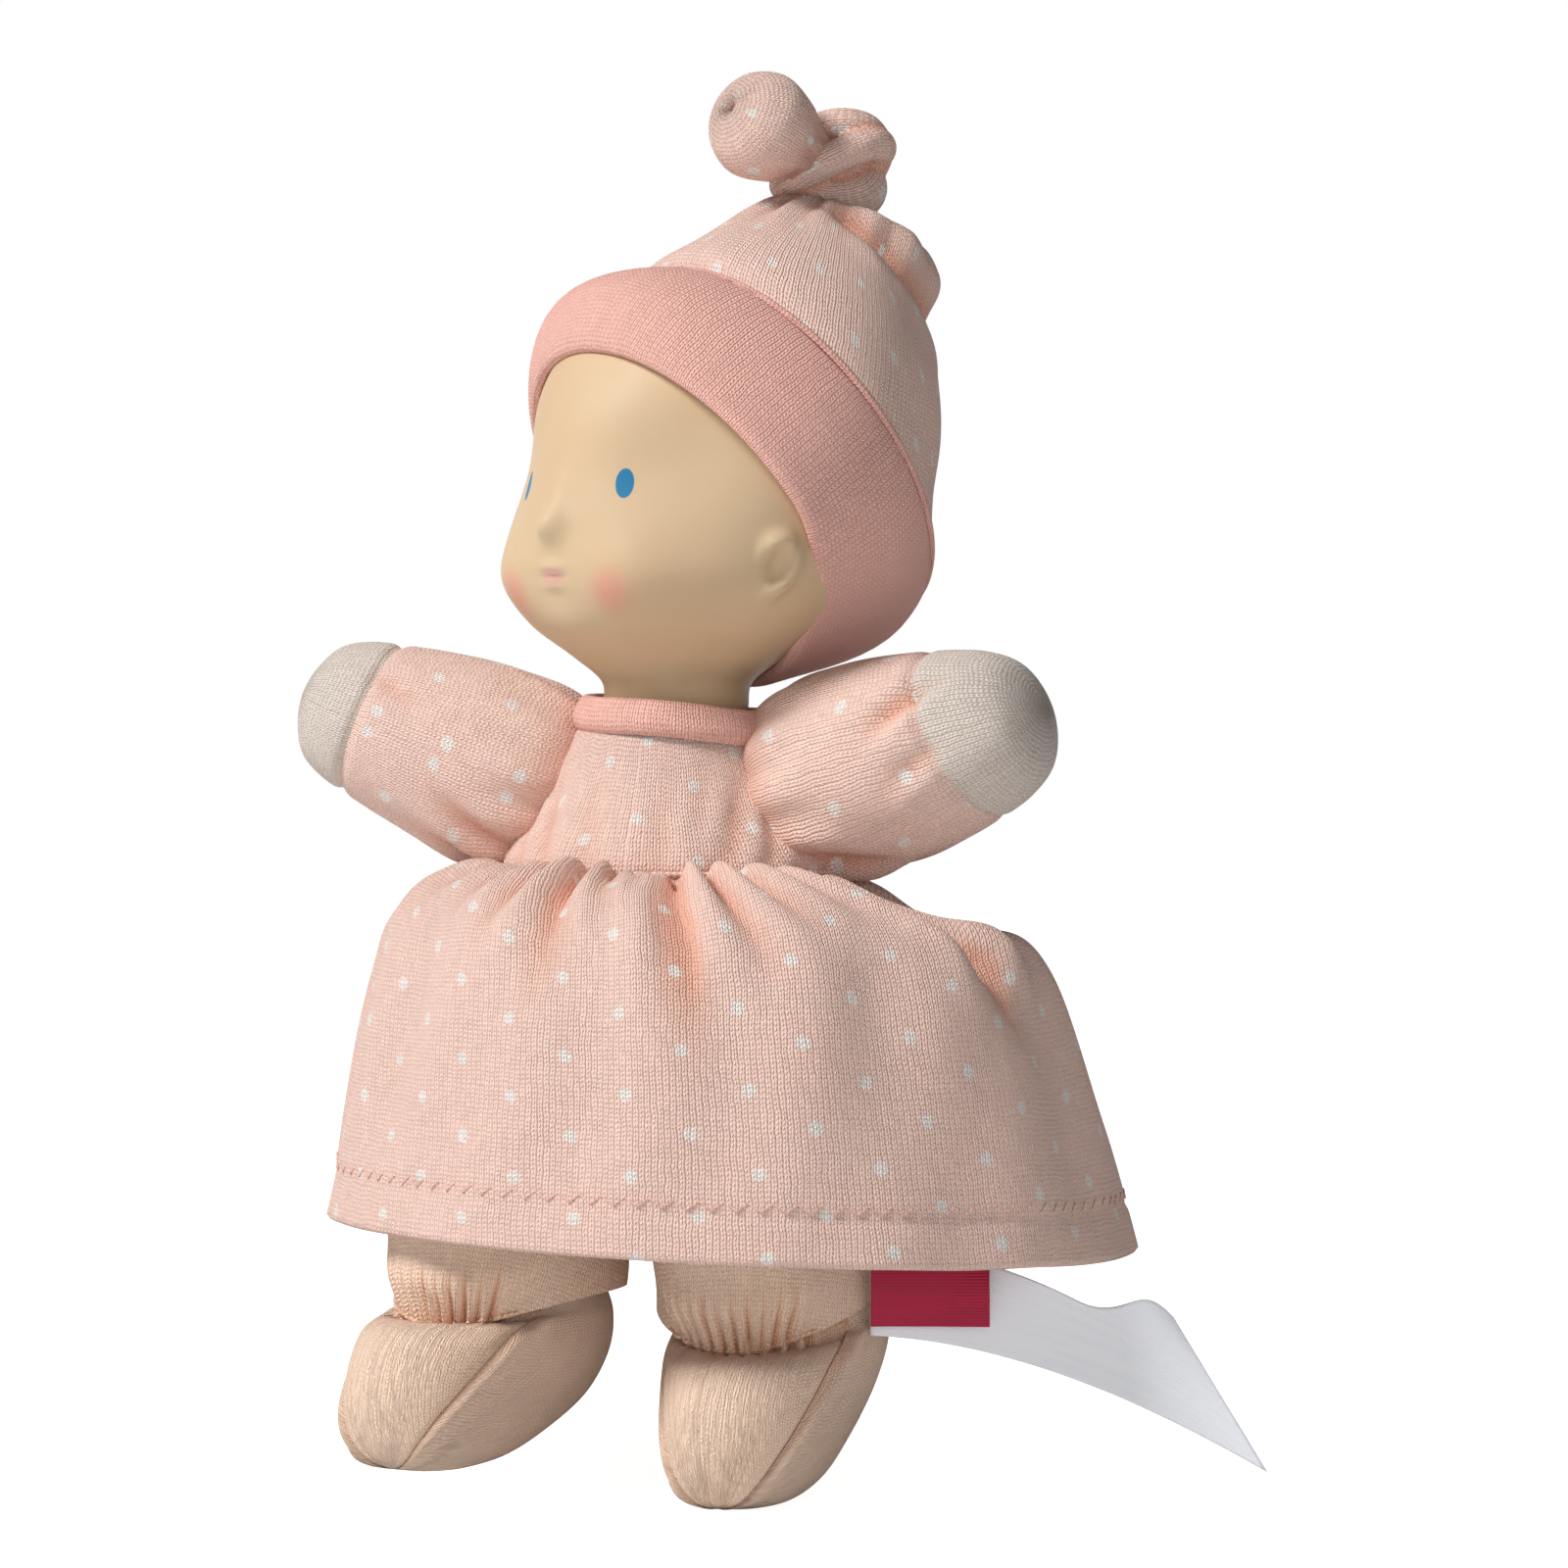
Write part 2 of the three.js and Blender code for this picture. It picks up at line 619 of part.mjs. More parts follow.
// Neck: a stuffed ball that nods in the torso, with a stub on which the head turns
const headGroup = new THREE.Group();
headGroup.rotation.z = turn(headTurnAtRest);
doll.add(headGroup);
headGroup.updateMatrixWorld(true);
function neck() {
  const shelf = headLift - seamGap;
  const steps = 6;
  const opening = Math.asin(shelf / neckBallRadius);
  const rows = [];
  for (let step = 0; step <= steps; step++) {
    const angle = -Math.PI / 2 + ((opening + Math.PI / 2) * step) / steps;
    rows.push([neckBallRadius * Math.sin(angle), step === 0 ? 0 : neckBallRadius * Math.cos(angle)]);
  }
  const top = neckStubLength;
  rows.push([shelf, neckStubRadius], [top - neckStubEdge, neckStubRadius]);
  rows.push([top, neckStubRadius - neckStubEdge], [top, 0]);
  const upright = new THREE.Matrix4().makeTranslation(neckPivot).multiply(
    new THREE.Matrix4().makeRotationX(Math.PI / 2),
  );
  piece("neck_plug", solid(turned(rows), upright), wadding, doll);
  joints.neck_nod = { pivot: neckPivot, axis: xAxis, range: nodRange };
  joints.head_turn = { pivot: neckPivot, axis: zAxis, range: headTurnRange };
}
neck();

// Head: hollow moulded shell with nose and ears in relief
function relief(angle, height) {
  const bump = (feature, at) => {
    const apart = Math.atan2(Math.sin(angle - at), Math.cos(angle - at));
    const across = (apart * headOutline[5][1]) / feature.width;
    const up = (height - feature.height) / feature.tall;
    return feature.reach * Math.exp(-(across ** 2) - up ** 2);
  };
  return bump(nose, turn(nose.angle)) + bump(ear, turn(ear.angle)) + bump(ear, turn(-ear.angle));
}
function headSolid(grow) {
  const rows = offset(smooth(headOutline, headRings), grow);
  const place = new THREE.Matrix4().makeTranslation(0, 0, headBase);
  return solid(loft(rows.map((row) => oval(row, headPoints, relief))), place);
}
function head() {
  const bore = neckStubRadius + seamGap;
  const hollow = smooth(headOutline, cavityRings)
    .filter(([height]) => height > neckTieRise && height < cavityTop)
    .map(([height, wide, deep, back]) => [
      height,
      Math.max(wide - rubberThickness, bore),
      Math.max(deep - rubberThickness, bore),
      back,
    ]);
  hollow.unshift([-headLift, bore, bore, 0]);
  const place = new THREE.Matrix4().makeTranslation(0, 0, headBase);
  const room = solid(loft(hollow.map((row) => oval(row, roundPoints))), place);
  piece("head_shell", headSolid(0).subtract(room), skinRubber, headGroup);

  const tieRadius = headOutline[0][1] + threadRadius + seamGap;
  const tie = new THREE.TorusGeometry(tieRadius, threadRadius, 6, roundPoints);
  const tieHeight = new THREE.Matrix4().makeTranslation(0, 0, headBase + neckTieRise);
  piece("neck_tie_cord", solid(tie, tieHeight), sewingThread, headGroup);
}
head();

// Hat: rings square to an axis that leans back, cut to the head inside
const onHat = (vector) => vector.applyAxisAngle(zAxis, turn(hatTurn));
function hatSection([height, back], tilt, side, fore) {
  const across = new THREE.Vector3(0, Math.cos(turn(tilt)), -Math.sin(turn(tilt)));
  return section(headPoints, (angle) => {
    const middle = new THREE.Vector3(side * Math.sin(angle), back, height);
    return onHat(middle.addScaledVector(across, -fore * Math.cos(angle)));
  });
}
function along(distance) {
  return [
    hatCentre.height + distance * Math.cos(turn(openingTilt)),
    hatCentre.back + distance * Math.sin(turn(openingTilt)),
  ];
}
function crownSolid(shrink) {
  const start = along(bandStart + bandWidth + seamGap - shrink);
  const sections = smooth(crownOutline, crownRings).map(([share, side, fore]) => {
    const height = THREE.MathUtils.lerp(start[0], crownTop.height - 2 * shrink, share);
    const back = THREE.MathUtils.lerp(start[1], crownTop.back, share);
    const tilt = THREE.MathUtils.lerp(openingTilt, topTilt, share);
    return hatSection([height, back], tilt, side - shrink, fore - shrink);
  });
  return solid(loft(sections));
}
function hat() {
  const underHat = headSolid(seamGap);
  const bandRows = bandOutline.map(([share, swell]) => {
    const place = along(bandStart + share * bandWidth);
    return hatSection(place, openingTilt, bandRadius.side * swell, bandRadius.fore * swell);
  });
  piece("hat_band", solid(loft(bandRows)).subtract(underHat), salmonRib, headGroup);

  const hollow = crownSolid(clothThickness).add(underHat);
  piece("hat_crown", crownSolid(0).subtract(hollow), dottedJersey, headGroup);
}
hat();

// Knot and tail: the crown's long tip tied once, its plump end pointing forward
function tip() {
  const centre = onHat(new THREE.Vector3(0, knotCentre.back, knotCentre.height));
  const lump = ball(knotRadius, centre, knotPoints);
  const lean = new THREE.Euler(turn(knotWrap.nod), turn(knotWrap.roll), 0);
  const wrapTurn = new THREE.Matrix4().makeRotationFromEuler(lean).setPosition(centre);
  const wrap = new THREE.TorusGeometry(knotWrap.radius, knotWrap.thickness, 6, knotPoints);
  const wrapped = solid(wrap, wrapTurn);
  const stemLength = knotCentre.height - crownTop.height;
  const stem = new THREE.CylinderGeometry(knotStem.top, knotStem.foot, stemLength, knotPoints);
  const stemHeight = (knotCentre.height + crownTop.height) / 2;
  const stemBack = (knotCentre.back + crownTop.back) / 2;
  const place = new THREE.Matrix4().makeTranslation(onHat(new THREE.Vector3(0, stemBack, stemHeight)));
  const stemBody = solid(stem, place.multiply(new THREE.Matrix4().makeRotationX(Math.PI / 2)));
  const joined = lump.add(wrapped).add(stemBody).subtract(crownSolid(-seamGap));

  const forward = onHat(new THREE.Vector3(0, -Math.cos(turn(tailRise)), Math.sin(turn(tailRise))));
  const root = centre.clone().addScaledVector(forward, knotRadius - tailSink);
  const tailGroup = aimed(root, forward, headGroup);
  const axis = onHat(xAxis.clone()).applyQuaternion(headGroup.quaternion);
  const pivot = root.clone().applyQuaternion(headGroup.quaternion);
  joints.hat_tail_flop = { pivot, axis, range: tailRange };
  piece("hat_knot", joined.subtract(swingRoom(root, tailReach)), dottedJersey, headGroup);
  piece("hat_tail_end", solid(turned(smooth(tailOutline, tailRings))), dottedJersey, tailGroup);
}
tip();

// Labels: two satin strips sewn into the side seam, the ribbon twisting and drooping to its end
function label(name, size, twist, droop, forward, range, material) {
  const heading = new THREE.Vector3(Math.cos(turn(labelHeading)), Math.sin(turn(labelHeading)), 0);
  const sideways = new THREE.Vector3(-heading.y, heading.x, 0);
  const hipAt = new THREE.Vector3(hip.out, hip.back, hip.height);
  const ankleAt = new THREE.Vector3(ankle.out, ankle.back, ankle.height);
  const start = hipAt.clone().addScaledVector(ankleAt.sub(hipAt).normalize(), labelDrop);
  start.x += labelReach;
  start.addScaledVector(sideways, -forward);
  const sections = Array.from({ length: ribbonSteps + 1 }, (_, step) => {
    const share = step / ribbonSteps;
    const middle = start.clone().addScaledVector(heading, share * size.length);
    middle.z -= droop * share ** 2;
    const lean = turn(twist) * share ** 2;
    const across = zAxis.clone().multiplyScalar(Math.cos(lean)).addScaledVector(sideways, Math.sin(lean));
    const thick = sideways.clone().multiplyScalar(Math.cos(lean)).addScaledVector(zAxis, -Math.sin(lean));
    const corners = [[-0.5, -0.5], [0.5, -0.5], [0.5, 0.5], [-0.5, 0.5]];
    return corners.map(([a, b]) =>
      middle.clone().addScaledVector(across, a * size.width).addScaledVector(thick, b * size.thickness),
    );
  });
  piece(name, solid(loft(sections)), material, doll);
  joints[`${name}_flap`] = { pivot: start, axis: zAxis, range };
}
label("seam_label_tab", tabSize, 0, 0, labelSpacing, tabRange, crimsonSatin);
label("care_label_ribbon", ribbonSize, ribbonTwist, ribbonDroop, 0, ribbonRange, whiteSatin);

// The origin is the middle of the doll's footprint, on the floor
const box = new THREE.Box3().setFromObject(doll, true);
const middle = box.getCenter(new THREE.Vector3());
const shift = new THREE.Vector3(-middle.x, -middle.y, 0);
doll.children.forEach((child) => child.position.add(shift));
Object.values(joints).forEach((joint) => (joint.pivot = joint.pivot.clone().add(shift)));
doll.userData = { joints, shift };

export default doll;
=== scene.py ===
import json
import math

import bmesh
import bpy
import numpy as np
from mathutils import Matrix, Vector


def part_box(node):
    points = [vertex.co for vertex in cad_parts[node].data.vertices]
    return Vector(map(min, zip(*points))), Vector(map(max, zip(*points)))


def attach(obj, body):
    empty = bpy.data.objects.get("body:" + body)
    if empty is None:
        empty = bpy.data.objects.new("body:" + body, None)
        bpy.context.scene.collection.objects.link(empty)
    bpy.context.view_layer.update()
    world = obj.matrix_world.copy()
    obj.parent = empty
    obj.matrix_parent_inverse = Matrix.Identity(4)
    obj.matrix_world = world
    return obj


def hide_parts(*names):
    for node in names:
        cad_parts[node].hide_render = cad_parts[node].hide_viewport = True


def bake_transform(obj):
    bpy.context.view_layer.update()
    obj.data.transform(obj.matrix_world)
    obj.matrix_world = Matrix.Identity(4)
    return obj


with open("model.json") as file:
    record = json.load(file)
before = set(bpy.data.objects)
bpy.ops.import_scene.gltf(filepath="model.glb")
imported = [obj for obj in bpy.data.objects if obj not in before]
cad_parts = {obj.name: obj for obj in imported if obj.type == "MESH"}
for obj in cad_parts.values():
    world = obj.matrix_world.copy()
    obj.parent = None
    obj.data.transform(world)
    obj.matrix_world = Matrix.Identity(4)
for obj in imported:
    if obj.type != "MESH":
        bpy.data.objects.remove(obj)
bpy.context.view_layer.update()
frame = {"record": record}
scene = bpy.context.scene
mm = 0.001
collarLow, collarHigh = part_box("collar_band")
dollAxis = np.array([(collarLow.x + collarHigh.x) / 2, (collarLow.y + collarHigh.y) / 2, 0])
print("frame loaded, doll's axis at", dollAxis)

# All shapes are in millimetres in the doll's own frame: it faces -Y, its left hand is on +X
camera = {"azimuth": 19, "distance": 900, "height": 115, "aimRight": 15, "aimHeight": 95.8, "lens": 149}
right = np.array([math.cos(math.radians(camera["azimuth"])), math.sin(math.radians(camera["azimuth"])), 0])
toward = np.array([right[1], -right[0], 0])
upward = np.array([0, 0, 1])


def follow(rows, shares):  # a smooth line through the rows
    rows = np.asarray(rows, float)
    last = len(rows) - 1
    place = np.clip(np.asarray(shares, float), 0, 1) * last
    row = np.minimum(place.astype(int), last - 1)
    t = (place - row)[..., None]
    a, b, c, d = (rows[np.clip(row + step, 0, last)] for step in (-1, 0, 1, 2))
    return b + 0.5 * ((c - a) * t + (2 * a - 5 * b + 4 * c - d) * t**2 + (3 * (b - c) + d - a) * t**3)


def ease(x, start, end):
    t = np.clip((np.asarray(x, float) - start) / (end - start), 0, 1)
    return t * t * (3 - 2 * t)


def hump(x, middle, width):
    return np.exp(-(((np.asarray(x, float) - middle) / width) ** 2))


def crease(x, middle, width):  # a sharp valley with a soft rise on each side
    far = np.abs(np.asarray(x, float) - middle) / width
    return 0.45 * hump(far, 2.0, 0.9) - np.exp(-(far**1.4))


def apart(angle, middle):  # degrees from one angle to another, the short way round
    return (np.asarray(angle, float) - middle + 180) % 360 - 180


def spun(points, degrees):  # turned about the doll's upright axis
    c, s = math.cos(math.radians(degrees)), math.sin(math.radians(degrees))
    x, y, z = np.moveaxis(np.asarray(points, float), -1, 0)
    return np.stack([c * x - s * y, s * x + c * y, z], -1)


def inFrame(point):
    return Vector(np.asarray(point, float) * mm + dollAxis)


def arcs(points):  # running length down each column
    steps = np.linalg.norm(np.diff(points, axis=0), axis=-1)
    return np.concatenate([np.zeros((1, points.shape[1])), np.cumsum(steps, axis=0)])


def wrapped(values):  # repeats the first column, so that a map closes round the piece
    return np.concatenate([values, values[:, :1]], 1)


def roundTurn(count):  # a full turn in equal steps
    return np.arange(count) / count * 2 * np.pi


def spokes(angle, first, second):  # directions round a limb, from its first side towards its second
    return np.cos(angle)[None, :, None] * first + np.sin(angle)[None, :, None] * second


def girthMap(girth, columns):  # millimetres of cloth round a piece
    return np.linspace(0, girth, columns + 1)[None]


def pushed(points, amount):  # moved square to the surface, outwards where the amount is positive
    across = np.roll(points, -1, 1) - np.roll(points, 1, 1)
    down = np.gradient(points, axis=0)
    normal = np.cross(across, down)
    normal /= np.maximum(np.linalg.norm(normal, axis=-1, keepdims=True), 1e-9)
    fromMiddle = points - points.mean(axis=(0, 1), keepdims=True)
    outward = np.sign(np.sum(normal * fromMiddle, axis=-1).mean())
    return points + outward * np.asarray(amount)[..., None] * normal


# A grid of points as a mesh. The "cloth" map is in decimetres of cloth; the second map holds how much painted shade a
# point takes, mostly from how deep in a fold it lies
def surface(name, points, u, v, material, wrap=True, caps=(False, False), fold=0.0, maps=(), shut=False):
    rings, count = points.shape[:2]
    ring, column = np.meshgrid(np.arange(rings - 1), np.arange(count if wrap else count - 1), indexing="ij")
    ring, column = ring.ravel(), column.ravel()
    corners = [(ring, column), (ring, column + 1), (ring + 1, column + 1), (ring + 1, column)]
    quads = np.stack([r * count + c % count for r, c in corners], -1)
    faces = quads.tolist()
    if caps[0]:
        faces.append(list(range(count))[::-1])
    if caps[1]:
        faces.append(list(range((rings - 1) * count, rings * count)))
    mesh = bpy.data.meshes.new(name)
    mesh.from_pydata((points.reshape(-1, 3) * mm + dollAxis).tolist(), [], faces)
    mesh.polygons.foreach_set("use_smooth", [True] * len(mesh.polygons))
    wide = count + 1 if wrap else count
    fold = np.broadcast_to(np.asarray(fold, float), (rings, count)) * 100
    fold = wrapped(fold) if wrap else fold
    for label, across, down in (("cloth", u, v), ("fold", fold, np.zeros((1, 1))), *maps):
        layer = mesh.uv_layers.new(name=label)
        across = np.broadcast_to(across, (rings, wide))
        down = np.broadcast_to(down, (rings, wide))
        loops = np.zeros((len(mesh.loops), 2))
        for corner, (r, c) in enumerate(corners):
            loops[corner : 4 * len(quads) : 4] = np.stack([across[r, c], down[r, c]], -1) / 100
        layer.data.foreach_set("uv", loops.ravel())
    shell = bmesh.new()
    shell.from_mesh(mesh)
    if shut:  # the last ring lies on the first one
        bmesh.ops.remove_doubles(shell, verts=shell.verts, dist=1e-6)
    bmesh.ops.recalc_face_normals(shell, faces=shell.faces)
    shell.to_mesh(mesh)
    shell.free()
    made = bpy.data.objects.new(name, mesh)
    scene.collection.objects.link(made)
    mesh.materials.append(material)
    return made


def tubePoints(path, radius, sides, closed=False):
    path = np.asarray(path, float)
    ahead = np.roll(path, -1, 0) - np.roll(path, 1, 0)
    if not closed:
        ahead[0], ahead[-1] = path[1] - path[0], path[-1] - path[-2]
    ahead /= np.linalg.norm(ahead, axis=1)[:, None]
    slanted = [0.31, 0.17, 0.94]  # along none of the paths
    side = np.cross(ahead[0], slanted)
    carried = []
    for direction in ahead:  # carried along the path without twisting
        side = side - direction * np.dot(side, direction)
        side /= np.linalg.norm(side)
        carried.append(side)
    side = np.array(carried)
    up = np.cross(ahead, side)
    reach = np.broadcast_to(np.asarray(radius, float), (len(path),))[:, None, None]
    return path[:, None] + reach * spokes(roundTurn(sides), side[:, None], up[:, None])


def tube(name, path, radius, material, sides=10, closed=False):
    points = tubePoints(path, radius, sides, closed)
    if closed:
        points = np.concatenate([points, points[:1]])
    length = arcs(points.mean(axis=1, keepdims=True))
    u = girthMap(2 * np.pi * np.mean(radius), sides)
    return surface(name, points, u, length, material, caps=(not closed, not closed))


def linear(colour):
    parts = [int(colour[i : i + 2], 16) / 255 for i in (1, 3, 5)]
    return [c / 12.92 if c <= 0.04045 else ((c + 0.055) / 1.055) ** 2.4 for c in parts] + [1]


def add(tree, kind, inputs=None, **settings):
    made = tree.nodes.new(kind)
    for key, value in settings.items():
        setattr(made, key, value)
    for key, value in (inputs or {}).items():
        if isinstance(value, bpy.types.Node):
            tree.links.new(value.outputs[0], made.inputs[key])
        elif isinstance(value, bpy.types.NodeSocket):
            tree.links.new(value, made.inputs[key])
        else:
            made.inputs[key].default_value = value
    return made


def blank(name):
    material = bpy.data.materials.new(name)
    material.use_nodes = True
    material.node_tree.nodes.clear()
    return material, material.node_tree


# Weft-knitted cotton: columns of V-shaped loops. It gives fine ribs up the cloth that catch the side light, with
# painted shade in the grooves between them, a bloom of loose fibre at the edges, an uneven dye, soft dents where it is
# handled, and painted shade in the folds: a warmer, darker colour that stands in for both shade and light shining
# through the cloth.
# Sizes are in millimetres; the columns (wale) and rows (course) are a little coarser than real, so that they show.
knitNoise = {"wobble": 0.35, "fibre": 2.2, "dents": 0.11, "mottle": 0.09}  # cells a millimetre


def knit(name, colours, wale=0.85, course=0.66, depth=0.34, fuzz=0.34, rumple=1.5, dots=None):
    material, tree = blank(name)
    uv = add(tree, "ShaderNodeUVMap", uv_map="cloth")
    size = add(tree, "ShaderNodeVectorMath", {0: uv, 3: 100.0}, operation="SCALE")  # millimetres of cloth
    wobble = add(tree, "ShaderNodeTexNoise", {"Vector": size, "Scale": knitNoise["wobble"], "Detail": 2.0})
    drift = add(tree, "ShaderNodeVectorMath", {0: wobble.outputs["Color"], 1: (0.5, 0.5, 0.5)}, operation="SUBTRACT")
    loose = add(tree, "ShaderNodeVectorMath", {0: drift, 1: (0.7, 0.9, 0), 2: size}, operation="MULTIPLY_ADD")
    xy = add(tree, "ShaderNodeSeparateXYZ", {0: loose})
    columns = add(tree, "ShaderNodeMath", {0: xy.outputs[0], 1: wale}, operation="DIVIDE")
    half = add(tree, "ShaderNodeMath", {0: columns, 1: 0.5}, operation="PINGPONG")
    leg = add(tree, "ShaderNodeMath", {0: half, 1: 2.0}, operation="MULTIPLY")  # 0 between columns, 1 in their middle
    phase = add(tree, "ShaderNodeMath", {0: leg, 1: 2.5, 2: 0.2}, operation="MULTIPLY_ADD")
    ridge = add(tree, "ShaderNodeMath", {0: phase}, operation="SINE")
    rows = add(tree, "ShaderNodeMath", {0: xy.outputs[1], 1: course}, operation="DIVIDE")
    lean = add(tree, "ShaderNodeMath", {0: leg, 1: 0.75, 2: rows}, operation="MULTIPLY_ADD")
    strandHalf = add(tree, "ShaderNodeMath", {0: lean, 1: 0.5}, operation="PINGPONG")
    strand = add(tree, "ShaderNodeMath", {0: strandHalf, 1: 1.0, 2: 0.5}, operation="MULTIPLY_ADD")
    loop = add(tree, "ShaderNodeMath", {0: ridge, 1: strand}, operation="MULTIPLY")
    fluff = {"Vector": size, "Scale": knitNoise["fibre"], "Detail": 4.0, "Roughness": 0.65}
    fibre = add(tree, "ShaderNodeTexNoise", fluff)
    height = add(tree, "ShaderNodeMath", {0: fibre, 1: fuzz, 2: loop}, operation="MULTIPLY_ADD")
    dented = {"Vector": size, "Scale": knitNoise["dents"], "Detail": 3.0, "Roughness": 0.55}
    dents = add(tree, "ShaderNodeTexNoise", dented)
    soft = add(tree, "ShaderNodeBump", {"Height": dents, "Strength": 0.7, "Distance": rumple * mm})
    bump = add(tree, "ShaderNodeBump", {"Height": height, "Strength": 0.9, "Distance": depth * mm, "Normal": soft})
    mottle = add(tree, "ShaderNodeTexNoise", {"Vector": size, "Scale": knitNoise["mottle"], "Detail": 3.0})
    dye = {"Factor": mottle, 6: linear(colours["yarn"]), 7: linear(colours["faded"])}
    base = add(tree, "ShaderNodeMix", dye, data_type="RGBA")
    # painted shade: the second map's amount mixes in a warmer, darker colour for shade in folds and light shining
    # through the cloth
    foldAt = add(tree, "ShaderNodeUVMap", uv_map="fold")
    foldDepth = add(tree, "ShaderNodeSeparateXYZ", {0: foldAt})
    folded = {"Factor": foldDepth.outputs[0], 6: base.outputs[2], 7: linear(colours["fold"])}
    foldShaded = add(tree, "ShaderNodeMix", folded, data_type="RGBA")
    # painted shade: the grooves between the loops' columns take a darker colour
    grooveShade = add(tree, "ShaderNodeMapRange", {"Value": loop, 1: 0.85, 2: 0.05, 3: 0.0, 4: 0.75})
    sunk = {"Factor": grooveShade, 6: foldShaded.outputs[2], 7: linear(colours["grooveShade"])}
    yarn = add(tree, "ShaderNodeMix", sunk, data_type="RGBA")
    fleck = add(tree, "ShaderNodeMapRange", {"Value": fibre, 1: 0.55, 2: 0.8, 3: 0.0, 4: 0.35})
    flecked = {"Factor": fleck, 6: yarn.outputs[2], 7: linear(colours["fleck"])}
    colour = add(tree, "ShaderNodeMix", flecked, data_type="RGBA")
    if dots:
        grid = add(tree, "ShaderNodeMapping", {"Vector": loose, "Rotation": (0, 0, math.radians(dots["turn"]))})
        near = []
        halfCell = (dots["across"] / 2, dots["down"] / 2, 1e3)
        for move in ((0, 0), halfCell[:2]):  # two lattices, one in the middle of the other's cells
            moved = add(tree, "ShaderNodeVectorMath", {0: grid, 1: (*move, 0)}, operation="ADD")
            bounds = {0: moved, 1: halfCell, 2: tuple(-side for side in halfCell)}
            cell = add(tree, "ShaderNodeVectorMath", bounds, operation="WRAP")
            flat = add(tree, "ShaderNodeVectorMath", {0: cell, 1: (1, 1, 0)}, operation="MULTIPLY")
            near.append(add(tree, "ShaderNodeVectorMath", {0: flat}, operation="LENGTH").outputs["Value"])
        nearest = add(tree, "ShaderNodeMath", {0: near[0], 1: near[1]}, operation="MINIMUM")
        ragged = add(tree, "ShaderNodeMath", {0: fibre, 1: 0.5, 2: nearest}, operation="MULTIPLY_ADD")
        edge = {"Value": ragged, 1: dots["radius"] + 0.4, 2: dots["radius"] + 0.1, 3: 0.0, 4: 0.9}
        paint = add(tree, "ShaderNodeMapRange", edge)
        spotted = {"Factor": paint, 6: colour.outputs[2], 7: linear(dots["colour"])}
        colour = add(tree, "ShaderNodeMix", spotted, data_type="RGBA")
    look = {"Base Color": colour.outputs[2], "Roughness": 0.92, "Normal": bump, "Specular IOR Level": 0.2}
    bloom = {"Sheen Weight": 0.2, "Sheen Roughness": 0.45, "Sheen Tint": linear(colours["fleck"])}
    shader = add(tree, "ShaderNodeBsdfPrincipled", {**look, **bloom})
    add(tree, "ShaderNodeOutputMaterial", {"Surface": shader})
    return material


# Natural rubber, cast in a mould and painted by hand: a soft low gloss, tiny grain, soft-edged blush.
# Places are along the face from its middle and above the floor, in millimetres.
face = {
    "skin": "#c8ae8b", "flush": "#bc9372", "eye": "#006b95", "lip": "#c58f8b", "blush": "#d58577",
    "eyeOut": 10.7, "eyeHeight": 137.0, "eyeHalf": (1.35, 2.05), "eyeLean": 10.0,
    "lipHeight": 124.4, "lipHalf": (2.3, 1.2), "blushOut": 10.2, "blushHeight": 122.4, "blushHalf": (2.8, 2.8),
    "grain": 1.6, "tone": 0.045,  # noise cells a millimetre
}


def castRubber():
    material, tree = blank("castNaturalRubber")
    uv = add(tree, "ShaderNodeUVMap", uv_map="face")
    size = add(tree, "ShaderNodeVectorMath", {0: uv, 3: 100.0}, operation="SCALE")
    grain = add(tree, "ShaderNodeTexNoise", {"Vector": size, "Scale": face["grain"], "Detail": 5.0})
    tone = add(tree, "ShaderNodeTexNoise", {"Vector": size, "Scale": face["tone"], "Detail": 2.0})
    toned = add(tree, "ShaderNodeMapRange", {"Value": tone, 1: 0.4, 2: 0.9, 3: 0.0, 4: 0.5})
    skin = {"Factor": toned, 6: linear(face["skin"]), 7: linear(face["flush"])}
    colour = add(tree, "ShaderNodeMix", skin, data_type="RGBA")
    # [out, height, half size, lean, colour, softness of its edge, strength] of each painted patch
    paints = [(0, face["lipHeight"], face["lipHalf"], 0, face["lip"], 0.5, 0.65)]
    for side in (-1, 1):
        blushOut, eyeOut = side * face["blushOut"], side * face["eyeOut"]
        paints.append((blushOut, face["blushHeight"], face["blushHalf"], 0, face["blush"], 0.75, 0.55))
        paints.append((eyeOut, face["eyeHeight"], face["eyeHalf"], face["eyeLean"], face["eye"], 0.06, 1.0))
    for out, height, half, lean, paint, soft, strength in paints:
        spot = {"Location": (out, height, 0), "Rotation": (0, 0, math.radians(lean)), "Scale": (*half, 1)}
        moved = add(tree, "ShaderNodeMapping", {"Vector": size, **spot}, vector_type="TEXTURE")
        flat = add(tree, "ShaderNodeVectorMath", {0: moved, 1: (1, 1, 0)}, operation="MULTIPLY")
        reach = add(tree, "ShaderNodeVectorMath", {0: flat}, operation="LENGTH").outputs["Value"]
        fade = {"Value": reach, 1: 1 + soft, 2: 1 - soft, 3: 0.0, 4: strength}
        cover = add(tree, "ShaderNodeMapRange", fade, interpolation_type="SMOOTHSTEP")
        painted = {"Factor": cover, 6: colour.outputs[2], 7: linear(paint)}
        colour = add(tree, "ShaderNodeMix", painted, data_type="RGBA")
    bump = add(tree, "ShaderNodeBump", {"Height": grain, "Strength": 0.25, "Distance": 0.03 * mm})
    rough = add(tree, "ShaderNodeMapRange", {"Value": grain, 1: 0.3, 2: 0.7, 3: 0.5, 4: 0.6})
    look = {"Base Color": colour.outputs[2], "Roughness": rough, "Normal": bump}
    gloss = {"IOR": 1.5, "Specular IOR Level": 0.35}
    shader = add(tree, "ShaderNodeBsdfPrincipled", {**look, **gloss})
    add(tree, "ShaderNodeOutputMaterial", {"Surface": shader})
    return material


